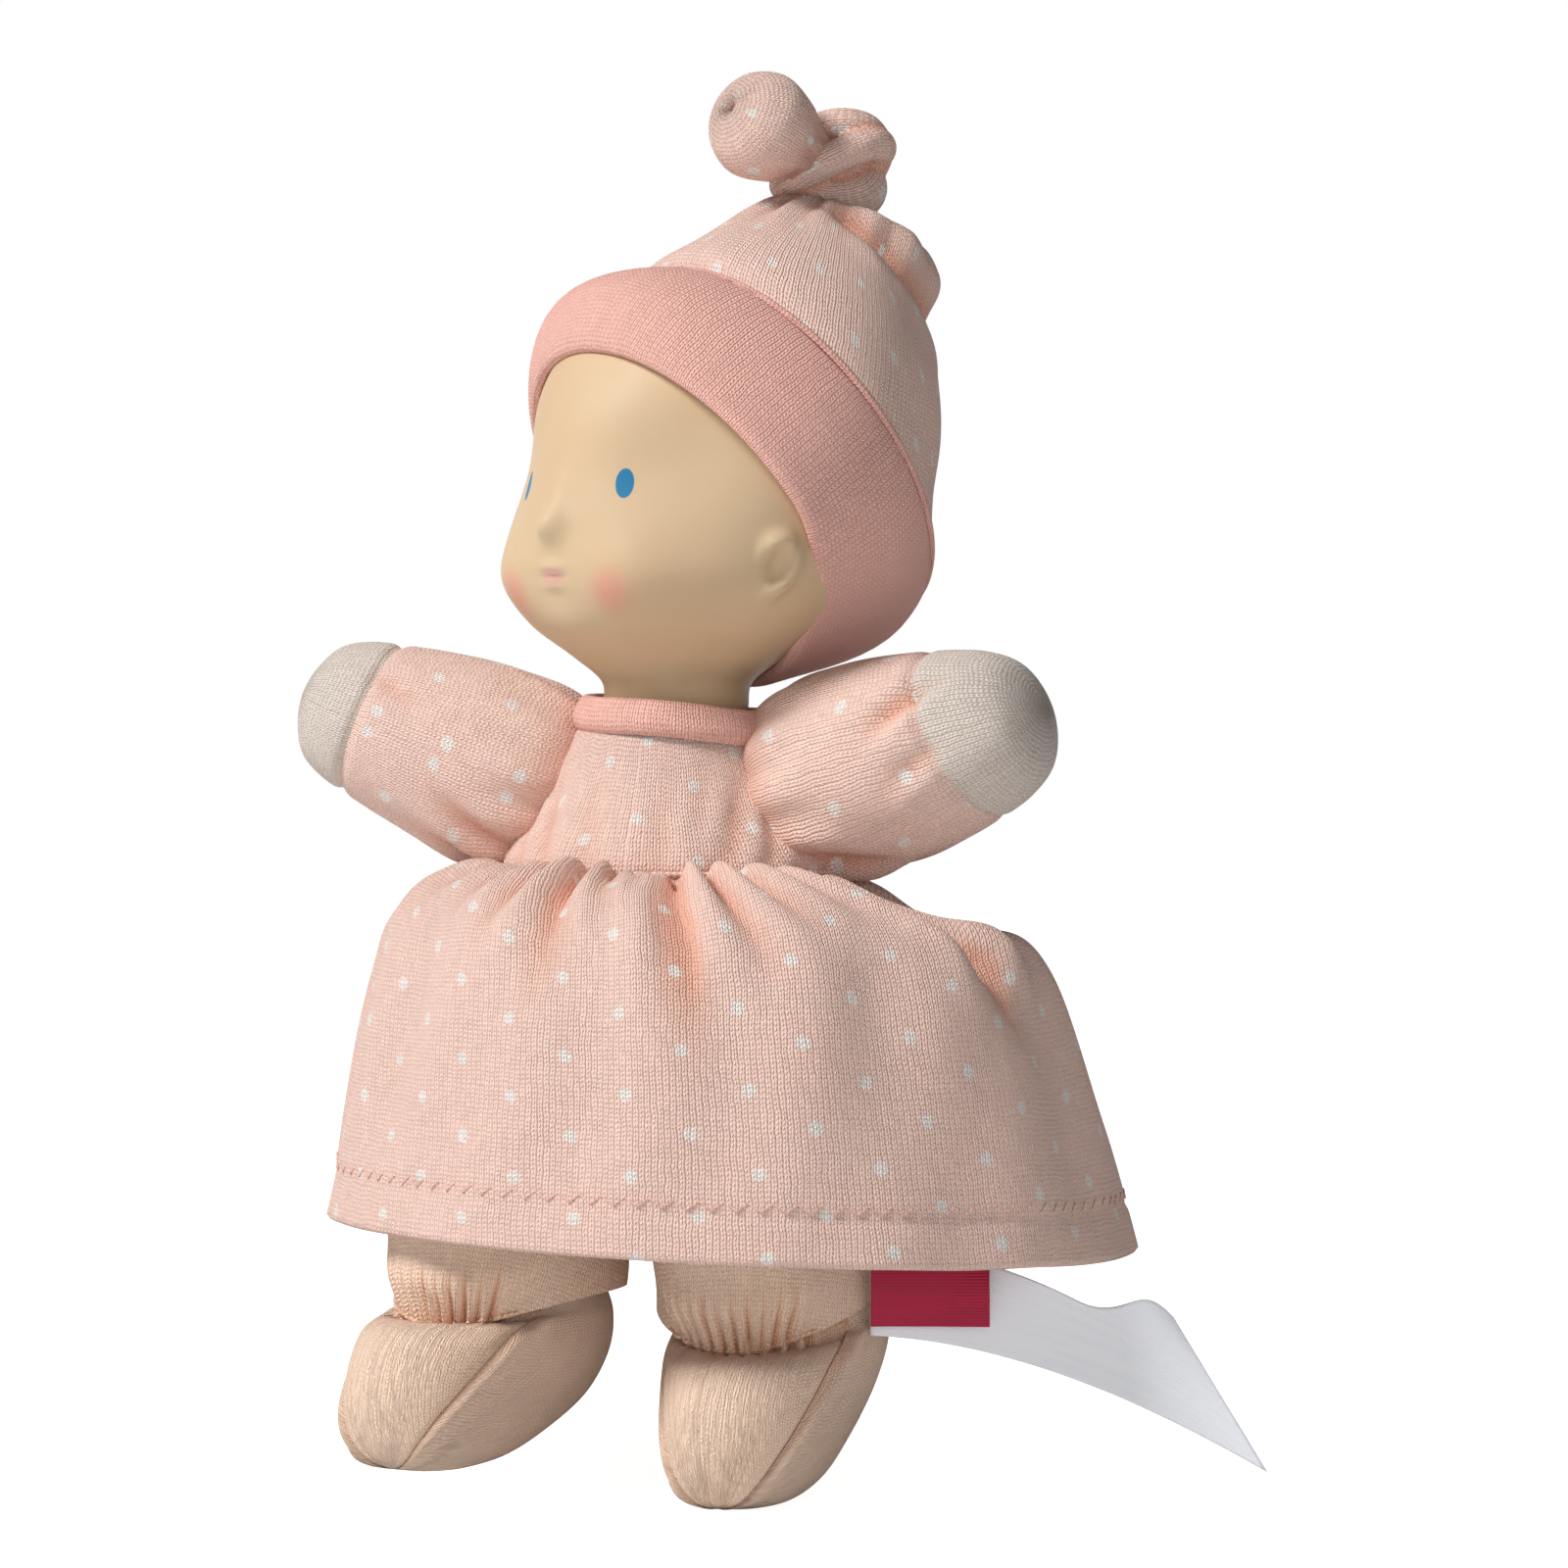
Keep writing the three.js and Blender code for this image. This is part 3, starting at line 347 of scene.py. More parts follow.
# Woven satin ribbon: long floats give a bright smooth face with hair-fine lines along it.
# Floats and picks are drawn coarser than real, so that they show.
def satin(name, colours):
    material, tree = blank(name)
    uv = add(tree, "ShaderNodeUVMap", uv_map="cloth")
    size = add(tree, "ShaderNodeVectorMath", {0: uv, 3: 100.0}, operation="SCALE")
    xy = add(tree, "ShaderNodeSeparateXYZ", {0: size})
    floatWidth, pickWidth = 0.42, 0.6  # millimetres
    floatTurn = add(tree, "ShaderNodeMath", {0: xy.outputs[0], 1: 2 * math.pi / floatWidth}, operation="MULTIPLY")
    floats = add(tree, "ShaderNodeMath", {0: floatTurn}, operation="SINE")
    pickTurn = add(tree, "ShaderNodeMath", {0: xy.outputs[1], 1: 2 * math.pi / pickWidth}, operation="MULTIPLY")
    picks = add(tree, "ShaderNodeMath", {0: pickTurn}, operation="SINE")
    weave = add(tree, "ShaderNodeMath", {0: picks, 1: 0.4, 2: floats}, operation="MULTIPLY_ADD")
    streak = add(tree, "ShaderNodeMapping", {"Vector": size, "Scale": (0.9, 0.05, 1)})
    gleam = add(tree, "ShaderNodeTexNoise", {"Vector": streak, "Scale": 1.0, "Detail": 3.0})
    # painted sheen: streaky lighter and darker tones along the ribbon, from the same noise that varies its gloss
    tones = {"Factor": gleam, 6: linear(colours["dark"]), 7: linear(colours["light"])}
    colour = add(tree, "ShaderNodeMix", tones, data_type="RGBA")
    bump = add(tree, "ShaderNodeBump", {"Height": weave, "Strength": 0.35, "Distance": 0.03 * mm})
    rough = add(tree, "ShaderNodeMapRange", {"Value": gleam, 1: 0.0, 2: 1.0, 3: 0.32, 4: 0.48})
    look = {"Base Color": colour.outputs[2], "Roughness": rough, "Normal": bump}
    gloss = {"Sheen Weight": 0.05, "Specular IOR Level": 0.2}
    shader = add(tree, "ShaderNodeBsdfPrincipled", {**look, **gloss})
    add(tree, "ShaderNodeOutputMaterial", {"Surface": shader})
    return material


# Spun cotton thread: two plies that shade each other along the twist
def spunThread(name, colours):
    material, tree = blank(name)
    uv = add(tree, "ShaderNodeUVMap", uv_map="cloth")
    size = add(tree, "ShaderNodeVectorMath", {0: uv, 3: 100.0}, operation="SCALE")
    xy = add(tree, "ShaderNodeSeparateXYZ", {0: size})
    around = add(tree, "ShaderNodeMath", {0: xy.outputs[0], 1: 4.0}, operation="MULTIPLY")
    pitch = 0.9  # millimetres for one turn of the twist
    twist = add(tree, "ShaderNodeMath", {0: xy.outputs[1], 1: 2 * math.pi / pitch, 2: around}, operation="MULTIPLY_ADD")
    ply = add(tree, "ShaderNodeMath", {0: twist}, operation="SINE")
    tone = add(tree, "ShaderNodeMapRange", {"Value": ply, 1: -1.0, 2: 1.0, 3: 0.0, 4: 1.0})
    plied = {"Factor": tone, 6: linear(colours["shade"]), 7: linear(colours["yarn"])}
    mixed = add(tree, "ShaderNodeMix", plied, data_type="RGBA")
    bump = add(tree, "ShaderNodeBump", {"Height": ply, "Strength": 0.5, "Distance": 0.08 * mm})
    look = {"Base Color": mixed.outputs[2], "Roughness": 0.8, "Normal": bump}
    shader = add(tree, "ShaderNodeBsdfPrincipled", look)
    add(tree, "ShaderNodeOutputMaterial", {"Surface": shader})
    return material


# Printed dots: their spacing and radius in millimetres, their rows' slant in degrees
dotted = {"across": 16.6, "down": 11.3, "turn": 4, "radius": 0.95, "colour": "#f0e8e1"}
# In each yarn, the groove colour and the fold colour are painted shade; the warm fold colour also stands in for light
# shining through the cloth.
pinkYarn = {"yarn": "#f5d3c4", "faded": "#f5dacf", "grooveShade": "#e3ae9a", "fleck": "#fae8e0", "fold": "#efb39b"}
salmonYarn = {"yarn": "#f8c2b4", "faded": "#f8c8bb", "grooveShade": "#d58e80", "fleck": "#fbd9cf", "fold": "#df9485"}
creamYarn = {"yarn": "#e9dcd1", "faded": "#ebdfd6", "grooveShade": "#c6b4a5", "fleck": "#f3ebe4", "fold": "#d9bfae"}
peachYarn = {"yarn": "#fddfc6", "faded": "#fde5d2", "grooveShade": "#f0c09c", "fleck": "#f9ebe0", "fold": "#e2a07a"}
dottedJersey = knit("dottedCottonJersey", pinkYarn, dots=dotted)
hatJersey = knit("stretchedDottedJersey", pinkYarn, wale=1.1, course=0.7, depth=0.4, rumple=0.8, dots=dotted)
salmonRib = knit("salmonCottonRib", salmonYarn, wale=0.8, course=0.66, depth=0.36, fuzz=0.22, rumple=0.4)
creamJersey = knit("creamCottonJersey", creamYarn, rumple=0.8)
peachJersey = knit("peachCottonJersey", peachYarn)
headRubber = castRubber()
pinkThread = spunThread("spunCottonThread", {"yarn": "#efcdc2", "shade": "#d8a796"})
peachThread = spunThread("peachCottonThread", {"yarn": "#ecc9ae", "shade": "#cf9f7d"})
crimsonSatin = satin("crimsonWovenSatin", {"dark": "#93082c", "light": "#ba1746"})
whiteSatin = satin("whiteWovenSatin", {"dark": "#eef0f8", "light": "#fbfcff"})
print("materials made")

headShape = {
    "base": 106.2, "turn": -30, "columns": 168, "rings": 120, "arcRadius": 27.2, "faceShift": 1.1,
    "evenColumns": 0.55,  # this share of the columns is spread evenly, the rest crowd towards the face
    # [above the base, half width, half depth, set back] from the neck's rim to the top
    "outline": [
        (-3.4, 8.6, 8.6, 0), (0, 10, 10, 0), (3.8, 10.5, 10.5, 0.3), (7.3, 15.5, 14.5, 0.8), (11.8, 22, 21, 1.8),
        (17.8, 26.2, 25.8, 3.2), (24.8, 27.2, 27.4, 4.6), (32.8, 26.8, 27.6, 6.2), (41.8, 25, 26.4, 7.6),
        (49.8, 21, 22.4, 8.2), (55.8, 14.6, 15.6, 8.4), (59.3, 7, 7.4, 8.4), (60.4, 0.3, 0.3, 8.4),
    ],
    # [out along the face, height, reach, half width, half height] of each soft rise or hollow
    "middleForms": [
        (0, 131.2, 2.0, 2.5, 2.3),  # nose
        (0, 134.5, 0.8, 2.0, 4.0),  # bridge
        (0, 125.6, 0.75, 2.4, 0.7),  # upper lip
        (0, 123.2, 0.7, 2.0, 0.7),  # lower lip
        (0, 124.4, -0.45, 2.8, 0.4),  # between the lips
        (0, 117.6, 1.3, 6.5, 3.6),  # chin
    ],
    "sideForms": [
        (12.5, 138.5, -1.0, 7.5, 8.0),  # eye hollow
        (21, 139.5, -1.7, 9.0, 9.0),  # temple
        (12.5, 123.5, 1.3, 6.5, 6.0),  # cheek
    ],
    "ear": {
        "out": 34.0, "height": 125.7, "half": (2.6, 3.6), "rim": 1.8, "rimWidth": 0.34, "bowl": 0.8, "bowlWidth": 0.75,
    },
}


def head():
    front = np.linspace(-1, 1, headShape["columns"], endpoint=False)
    even = headShape["evenColumns"]
    angle = np.pi * (front * even + (1 - even) * front**3)
    rows = follow(headShape["outline"], np.linspace(0, 1, headShape["rings"]) ** 0.9)
    height = headShape["base"] + rows[:, :1]
    out = angle[None] * headShape["arcRadius"] - headShape["faceShift"]
    forms = list(headShape["middleForms"])
    for at, level, reach, wide, tall in headShape["sideForms"]:
        forms += [(at, level, reach, wide, tall), (-at, level, reach, wide, tall)]
    grow = 0
    for at, level, reach, wide, tall in forms:
        grow = grow + reach * np.exp(-(((out - at) / wide) ** 2) - ((height - level) / tall) ** 2)
    ear = headShape["ear"]
    for side in (-1, 1):  # a curved rim, open towards the face, round a shallow bowl
        x = (side * out - ear["out"]) / ear["half"][0]
        y = (height - ear["height"]) / ear["half"][1]
        far = np.hypot(x, y)
        rim = hump(far, 1, ear["rimWidth"]) * ease(-x - 0.35 * y, 1.15, 0.1)
        grow = grow + ear["rim"] * rim - ear["bowl"] * hump(far, 0, ear["bowlWidth"])
    x = (rows[:, 1:2] + grow) * np.sin(angle)
    y = rows[:, 3:4] - (rows[:, 2:3] + grow) * np.cos(angle)
    points = spun(np.stack([x, y, height * np.ones_like(x)], -1), headShape["turn"])
    outs = np.append(angle, np.pi)[None] * headShape["arcRadius"] - headShape["faceShift"]
    maps = [("face", outs, height)]
    ends = (True, True)
    made = surface("mouldedHead", points, outs, height, headRubber, caps=ends, maps=maps)
    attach(made, "head")
    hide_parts("head_shell")


head()
print("head made")

hat = {
    "turn": -5, "back": 6.2, "height": 135.4, "openingTilt": 54, "topTilt": 24, "bandStart": -5.4, "bandWidth": 18.4,
    "side": 29.0, "fore": 30.2, "topBack": 27.4, "topHeight": 174.2,
    "columns": 200, "bandRings": 48, "crownRings": 110, "bandGirth": 186, "crownGirth": 178,
    "bandCut": (0.186, 0.024), "crownCut": (0.178, 0.062), "crownArea": 0.0062,  # flat cloth, in metres
    "fullSide": -40, "fullReach": 55, "fullness": 4.6,  # fuller over the forehead, in degrees from the hat's front
    "napePull": 5.2, "napeReach": 5.0,  # how far the band's edge draws in and runs down at the nape
    # [along the band, out from its radius] of the folded rib cuff, from inside the face edge to the crown's seam
    "cuff": [
        (3.0, -2.6), (1.2, -2.5), (0.1, -1.9), (-0.35, -1.0), (0.05, -0.2), (1.0, 0.25), (4.0, 0.7), (9, 1.0),
        (14, 0.6), (17.0, 0.0), (18.1, -0.6), (18.5, -1.6), (18.2, -2.4),
    ],
    # [share of the way to the knot, side radius, fore-and-aft radius] of the crown
    "crown": [
        (-0.08, 26.8, 27.2), (0, 27.8, 28.2), (0.05, 28.3, 28.6), (0.25, 26.6, 26.2), (0.5, 22.4, 21.8),
        (0.75, 16.8, 16.2), (0.9, 12.6, 12.4), (1, 9.2, 9.2), (1.07, 4.6, 4.6),
    ],
    # the slack cloth hangs over in one big fold: the share where it starts, how far that falls towards the back,
    # how far the fold stands out, and the dip and the ridge under it
    "slack": {"line": 0.97, "fall": 0.23, "puff": 4.6, "dip": 1.7, "ridge": 0.5},
    "seamGroove": 0.5, "frontHollow": 1.2, "backHollow": 1.4, "rollRadius": 0.5, "rollInset": 0.75, "rollRise": 0.25,
    # [angle, depth, half width in degrees] of the pleats drawn up into the knot
    "pleats": [
        (10, 1.3, 6), (36, 1.0, 5), (62, 1.6, 7), (92, 1.3, 6), (122, 1.7, 7), (158, 1.3, 7), (196, 1.6, 8),
        (236, 1.3, 7), (274, 1.5, 7), (308, 1.2, 6), (338, 1.5, 6),
    ],
}
hatAngle = headShape["turn"] + hat["turn"]


def hatRings(back, height, tilt, side, fore, angle):
    lean = np.radians(tilt)
    x = side * np.sin(angle)
    y = back - fore * np.cos(angle) * np.cos(lean)
    z = height + fore * np.cos(angle) * np.sin(lean)
    return spun(np.stack(np.broadcast_arrays(x, y, z), -1), hatAngle)


def alongHat(distance):
    lean = math.radians(hat["openingTilt"])
    return hat["back"] + distance * math.sin(lean), hat["height"] + distance * math.cos(lean)


def hatBand():
    angle = roundTurn(hat["columns"])
    profile = follow(hat["cuff"], np.linspace(0, 1, hat["bandRings"]))
    along = profile[:, :1]
    behind = ease(-np.cos(angle), -0.1, 0.95)
    reach = hat["napeReach"] * behind * (1 - ease(along, -1, 15))
    back, height = alongHat(hat["bandStart"] + along - reach)
    swell = 0.25 * np.sin(3 * angle + 0.8) + 0.2 * np.sin(5 * angle)
    overForehead = hump(apart(np.degrees(angle), hat["fullSide"]), 0, hat["fullReach"])
    full = hat["fullness"] * overForehead * np.sin(np.pi * np.clip(along / hat["bandWidth"], 0, 1))
    nape = hat["napePull"] * behind * (1 - ease(along, -1, 14))
    grow = profile[:, 1:2] + swell * ease(along, 0, 6) + full - nape
    points = hatRings(back, height, hat["openingTilt"], hat["side"] + grow, hat["fore"] + grow, angle)
    u = girthMap(hat["bandGirth"], hat["columns"])
    made = surface("ribHatBand", points, u, wrapped(arcs(points)), salmonRib)
    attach(made, "head")
    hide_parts("hat_band")
    return made


def hatCrown():
    angle = roundTurn(hat["columns"])
    degrees = np.degrees(angle)
    rows = follow(hat["crown"], np.linspace(0, 1, hat["crownRings"]) ** 0.9)
    share = rows[:, :1]
    start = alongHat(hat["bandStart"] + hat["bandWidth"])
    back = start[0] + (hat["topBack"] - start[0]) * share
    height = start[1] + (hat["topHeight"] - start[1]) * share
    tilt = hat["openingTilt"] + (hat["topTilt"] - hat["openingTilt"]) * share
    pleats = 0
    for at, deep, wide in hat["pleats"]:
        pleats = pleats + deep * crease(apart(degrees, at), 0, wide) * ease(share, 0.62, 0.98)
    slack = hat["slack"]
    line = slack["line"] - slack["fall"] * ease(degrees, 30, 140)
    reach = ease(degrees, 20, 70) * (1 - ease(degrees, 185, 230))  # only on the side away from the face
    puff = slack["puff"] * ease(share, line, line + 0.2) * (1 - ease(share, 1.0, 1.07))
    dip = slack["ridge"] * hump(share, line - 0.1, 0.06) - slack["dip"] * hump(share, line - 0.012, 0.03)
    seam = -hat["seamGroove"] * hump(share, 0.0, 0.02)
    flatter = -hat["frontHollow"] * hump(apart(degrees, hat["fullSide"]), 0, 60) * hump(share, 0.5, 0.25)
    narrower = -hat["backHollow"] * hump(apart(degrees, 144), 0, 60) * hump(share, 0.2, 0.16)
    pleats = pleats * (1 - 0.65 * reach)
    grow = pleats + (puff + dip) * reach + seam + flatter + narrower
    points = hatRings(back, height, tilt, rows[:, 1:2] + grow, rows[:, 2:3] + grow, angle)
    # painted shade under the slack cloth's overhang and in the pleats at the knot
    fold = np.clip(reach * hump(share, line + 0.01, 0.06) - 0.35 * pleats, 0, 1)
    u = girthMap(hat["crownGirth"], hat["columns"])
    made = surface("jerseyHatCrown", points, u, wrapped(arcs(points)), hatJersey, fold=fold)
    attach(made, "head")
    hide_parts("hat_crown")
    return made


def hatSeamRoll():  # the thin rolled edge between band and crown
    back, height = alongHat(hat["bandStart"] + hat["bandWidth"] + hat["rollRise"])
    side, fore = hat["side"] - hat["rollInset"], hat["fore"] - hat["rollInset"]
    path = hatRings(back, height, hat["openingTilt"], side, fore, roundTurn(160))
    made = tube("hatSeamRoll", path, hat["rollRadius"], salmonRib, sides=8, closed=True)
    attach(made, "head")
    return made


band = hatBand()
crown = hatCrown()
hatSeam = hatSeamRoll()

# The tied tip: [right, towards the viewer, up] from the knot's middle along each strand, then its first and last radius
knot = {
    "back": 29.4, "height": 181.0, "shift": (-1.2, 0, 1.4), "voxel": 0.34, "softening": 4, "steps": 60, "sides": 20,
    "foldReach": 0.8, "patternShift": 0.3,
    "strands": [
        (  # slanting over the front
            [
                (3.0, -3.0, 0.4), (5.8, -0.4, 2.4), (5.2, 2.4, 3.2), (2.6, 4.7, 2.5), (-1.4, 5.8, 0.6),
                (-5.2, 4.8, -1.4), (-7.3, 1.6, -2.5), (-6.2, -1.8, -2.4), (-3.0, -3.0, -2.0),
            ],
            (2.4, 2.4),
        ),
        (  # loop over the top
            [
                (-1.5, -2.2, 2.4), (-3.2, 0.0, 4.6), (-2.2, 1.9, 5.6), (1.0, 2.8, 6.0), (4.2, 1.7, 5.1),
                (5.6, -0.8, 2.3), (4.2, -2.4, -0.6), (1.6, -2.4, -1.0),
            ],
            (2.2, 2.3),
        ),
        (  # lower lobe
            [
                (-2.6, -0.6, -3.6), (-4.8, 1.0, -4.3), (-2.0, 2.8, -5.1), (1.6, 3.0, -4.9), (3.4, 1.0, -3.6),
                (3.4, -1.4, -2.0), (1.4, -2.0, -1.0),
            ],
            (3.4, 3.4),
        ),
        (  # loop round the back
            [
                (-3.0, -1.6, -1.0), (-4.6, -3.6, -1.8), (-1.8, -5.0, -2.4), (2.6, -4.4, -1.6), (4.0, -3.2, 1.6),
                (0.8, -3.8, 3.8), (-1.0, -1.6, 3.0),
            ],
            (2.8, 2.8),
        ),
        ([(-1.8, -1.0, -11.0), (-0.9, -1.0, -6.4), (-0.3, -0.8, -1.0), (0.2, -0.6, 3.4)], (6.6, 4.4)),  # core
    ],
}
knotCentre = spun([0, knot["back"], knot["height"]], hatAngle)


def hatKnot():
    paths = []
    joined = bmesh.new()
    sides = knot["sides"]
    for rows, (first, last) in knot["strands"]:
        way = follow(rows, np.linspace(0, 1, knot["steps"])) + knot["shift"]
        path = knotCentre + way[:, :1] * right + way[:, 1:2] * toward + way[:, 2:] * upward
        radius = np.linspace(first, last, len(path))
        points = tubePoints(path, radius, sides)
        rings = [[joined.verts.new(point * mm + dollAxis) for point in ring] for ring in points]
        for low, high in zip(rings, rings[1:]):
            for index in range(sides):
                joined.faces.new((low[index], low[index - 1], high[index - 1], high[index]))
        joined.faces.new(rings[0])
        joined.faces.new(rings[-1][::-1])
        paths.append((path, radius, points))
    bmesh.ops.recalc_face_normals(joined, faces=joined.faces)
    mesh = bpy.data.meshes.new("tiedHatKnot")
    joined.to_mesh(mesh)
    joined.free()
    made = bpy.data.objects.new("tiedHatKnot", mesh)
    scene.collection.objects.link(made)
    fuse = made.modifiers.new("fuse", "REMESH")  # the strands press into each other, as tied cloth does
    fuse.mode = "VOXEL"
    fuse.voxel_size = knot["voxel"] * mm
    soften = made.modifiers.new("soften", "SMOOTH")
    soften.iterations = knot["softening"]
    bpy.context.view_layer.update()
    fused = bpy.data.meshes.new_from_object(made.evaluated_get(bpy.context.evaluated_depsgraph_get()))
    made.modifiers.clear()
    made.data = fused
    fused.name = "tiedHatKnot"
    fused.polygons.foreach_set("use_smooth", [True] * len(fused.polygons))
    # each face takes the cloth's run from its nearest strand, and takes painted shade where two strands meet
    spots = np.array([v.co for v in fused.vertices]) / mm - dollAxis / mm
    far, runs = [], []
    for path, radius, points in paths:
        away = np.linalg.norm(spots[:, None] - path[None], axis=-1) - radius[None]
        nearest = np.argmin(away, axis=1)
        length = arcs(path[:, None])[:, 0]
        out = spots - path[nearest]
        side = points[nearest, 0] - path[nearest]
        over = points[nearest, sides // 4] - path[nearest]
        around = np.arctan2(np.sum(out * over, 1), np.sum(out * side, 1))
        far.append(np.min(away, axis=1))
        runs.append((around, length[nearest], radius[nearest]))
    far = np.stack(far, 1)
    two = np.sort(far, axis=1)[:, :2]
    # painted shade in the crease between two strands
    fold = hump(two[:, 1] - two[:, 0], 0, knot["foldReach"])
    cloth = fused.uv_layers.new(name="cloth")
    folds = fused.uv_layers.new(name="fold")
    for polygon in fused.polygons:
        corners = list(polygon.vertices)
        strand = int(np.argmin(far[corners].sum(axis=0)))
        around, length, radius = runs[strand]
        for loop, corner in zip(polygon.loop_indices, corners):
            turn = around[corners[0]] + (around[corner] - around[corners[0]] + np.pi) % (2 * np.pi) - np.pi
            across = turn * radius[corner] / 100 + knot["patternShift"] * strand
            cloth.data[loop].uv = (across, length[corner] / 100)
            folds.data[loop].uv = (fold[corner], 0)
    fused.materials.append(dottedJersey)
    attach(made, "head")
    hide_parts("hat_knot")


tail = {
    "rise": 24, "sink": 6.5, "columns": 96, "rings": 76, "girth": 50,
    "pucker": 0.5, "gather": 0.5, "uneven": 0.35,  # depths of the tip's pucker, the root's gathers and a slight swell
    # [distance from its root, radius], the tip turned in at the end
    "outline": [
        (-5, 2.6), (-3, 3.2), (0, 3.9), (3, 5.2), (6, 7.1), (10, 8.1), (13.4, 6.8), (15.4, 4.4), (16.1, 2.4),
        (15.4, 0.9), (14.2, 0.1),
    ],
}


def hatTail():
    lean = math.radians(tail["rise"])
    ahead = spun([0, -math.cos(lean), math.sin(lean)], hatAngle)
    side = spun([1, 0, 0], hatAngle)
    up = np.cross(side, ahead)
    root = knotCentre + ahead * tail["sink"]
    angle = roundTurn(tail["columns"])
    share = np.linspace(0, 1, tail["rings"])[:, None]
    rows = follow(tail["outline"], share[:, 0])
    along, radius = rows[:, :1], rows[:, 1:2]
    pucker = tail["pucker"] * np.cos(9 * angle + 0.6) * ease(share, 0.7, 0.86) * (radius / 8)
    gathers = -tail["gather"] * np.abs(np.sin(4.5 * angle)) * (1 - ease(share, 0.2, 0.55)) * (radius / 5)
    uneven = tail["uneven"] * np.sin(2 * angle + 0.7) * ease(share, 0.2, 0.6) * (radius / 8)
    reach = radius + pucker + gathers + uneven
    points = root + along[..., None] * ahead + reach[..., None] * spokes(angle, side, up)
    # painted shade at the root under the knot, in the root's gathers and in the pucker at the tip
    fold = np.clip(0.9 * (1 - ease(share, 0.12, 0.5)) + 0.6 * ease(share, 0.86, 0.95) - gathers, 0, 1)
    u = girthMap(tail["girth"], tail["columns"])
    v = wrapped(arcs(points))
    made = surface("jerseyHatTail", points, u, v, dottedJersey, caps=(True, True), fold=fold)
    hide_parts("hat_tail_end")
    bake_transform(made)


hatKnot()
hatTail()
print("hat made")

bodice = {
    # [height, half width, half depth, set back] from under the waist's seam to the neck
    "rows": [
        (81.6, 21.6, 17.8, 0), (83.4, 23.8, 19.8, 0), (85, 24.4, 20.2, 0), (88, 22.9, 19.2, 0), (92, 19.8, 17.6, 0),
        (97, 17.2, 15.4, 0), (101.3, 14.9, 14.1, 0), (103.4, 13.6, 13.2, 0), (104.4, 12.2, 12, 0),
    ],
    # [angle, depth, half width in degrees, slant in degrees a centimetre] of each soft crease
    "creases": [
        (40, 0.7, 5, 14), (-40, 0.7, 5, -14), (56, 0.6, 4, 16), (-56, 0.6, 4, -16), (140, 0.6, 6, 8),
        (-140, 0.6, 6, -8), (12, 0.3, 5, 3), (-18, 0.35, 6, -4), (28, 0.35, 4, 6),
    ],
    "columns": 180, "rings": 60, "girth": 132.0, "sideSeams": (90, 270), "seamDepth": 0.35,
}


def ovalRings(rows, angle, grow=0.0):  # rows of [height, half width, half depth, set back, and at times set left]
    x = (rows[:, 4:5] if rows.shape[1] > 4 else 0) + (rows[:, 1:2] + grow) * np.sin(angle)
    y = rows[:, 3:4] - (rows[:, 2:3] + grow) * np.cos(angle)
    return np.stack(np.broadcast_arrays(x, y, rows[:, :1]), -1)


def bodiceCloth():
    angle = roundTurn(bodice["columns"])
    degrees = np.degrees(angle)
    rows = follow(bodice["rows"], np.linspace(0, 1, bodice["rings"]))
    height = rows[:, :1]
    grow = 0
    for at, deep, wide, slant in bodice["creases"]:
        line = at + slant * (height - 90) / 10
        grow = grow + deep * crease(apart(degrees, line), 0, wide) * hump(height, 89, 7)
    # painted shade in the creases
    fold = np.clip(-grow, 0, 1)
    for at in bodice["sideSeams"]:
        grow = grow - bodice["seamDepth"] * hump(apart(degrees, at), 0, 1.6)
    points = ovalRings(rows, angle, grow)
    u = girthMap(bodice["girth"], bodice["columns"])
    made = surface("jerseyBodice", points, u, wrapped(arcs(points)), dottedJersey, fold=fold)
    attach(made, "torso")
    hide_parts("bodice_front", "bodice_back")


collar = {
    "base": 103.0, "radius": 14.7, "columns": 144, "rings": 40, "girth": 89.0,
    "lean": 0.09, "aside": 1.0,  # it slopes down and sits over towards the left shoulder
    # [height above its seam, out from its radius] of the folded rib, from the outside seam over the fold to the inside
    "profile": [
        (-0.8, -0.3), (-0.2, 0.3), (0.9, 0.55), (2.2, 0.2), (3.3, -0.4), (4.0, -0.9), (4.2, -1.6), (3.9, -2.2),
        (3, -2.6), (1.2, -2.3),
    ],
}


def collarBand():
    angle = roundTurn(collar["columns"])
    rows = follow(collar["profile"], np.linspace(0, 1, collar["rings"]))
    reach = collar["radius"] + rows[:, 1:2] + 0.12 * np.sin(9 * angle) * ease(rows[:, :1], 0, 3)
    x = reach * np.sin(angle) + collar["aside"] * right[0]
    y = -reach * np.cos(angle) + collar["aside"] * right[1]
    slope = collar["lean"] * (x * right[0] + y * right[1])
    height = collar["base"] + rows[:, :1] + 0.2 * np.sin(3 * angle + 1) - slope
    points = np.stack([x, y, height], -1)
    u = girthMap(collar["girth"], collar["columns"])
    made = surface("ribCollar", points, u, wrapped(arcs(points)), salmonRib)
    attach(made, "torso")
    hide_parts("collar_band")


bodiceCloth()
collarBand()

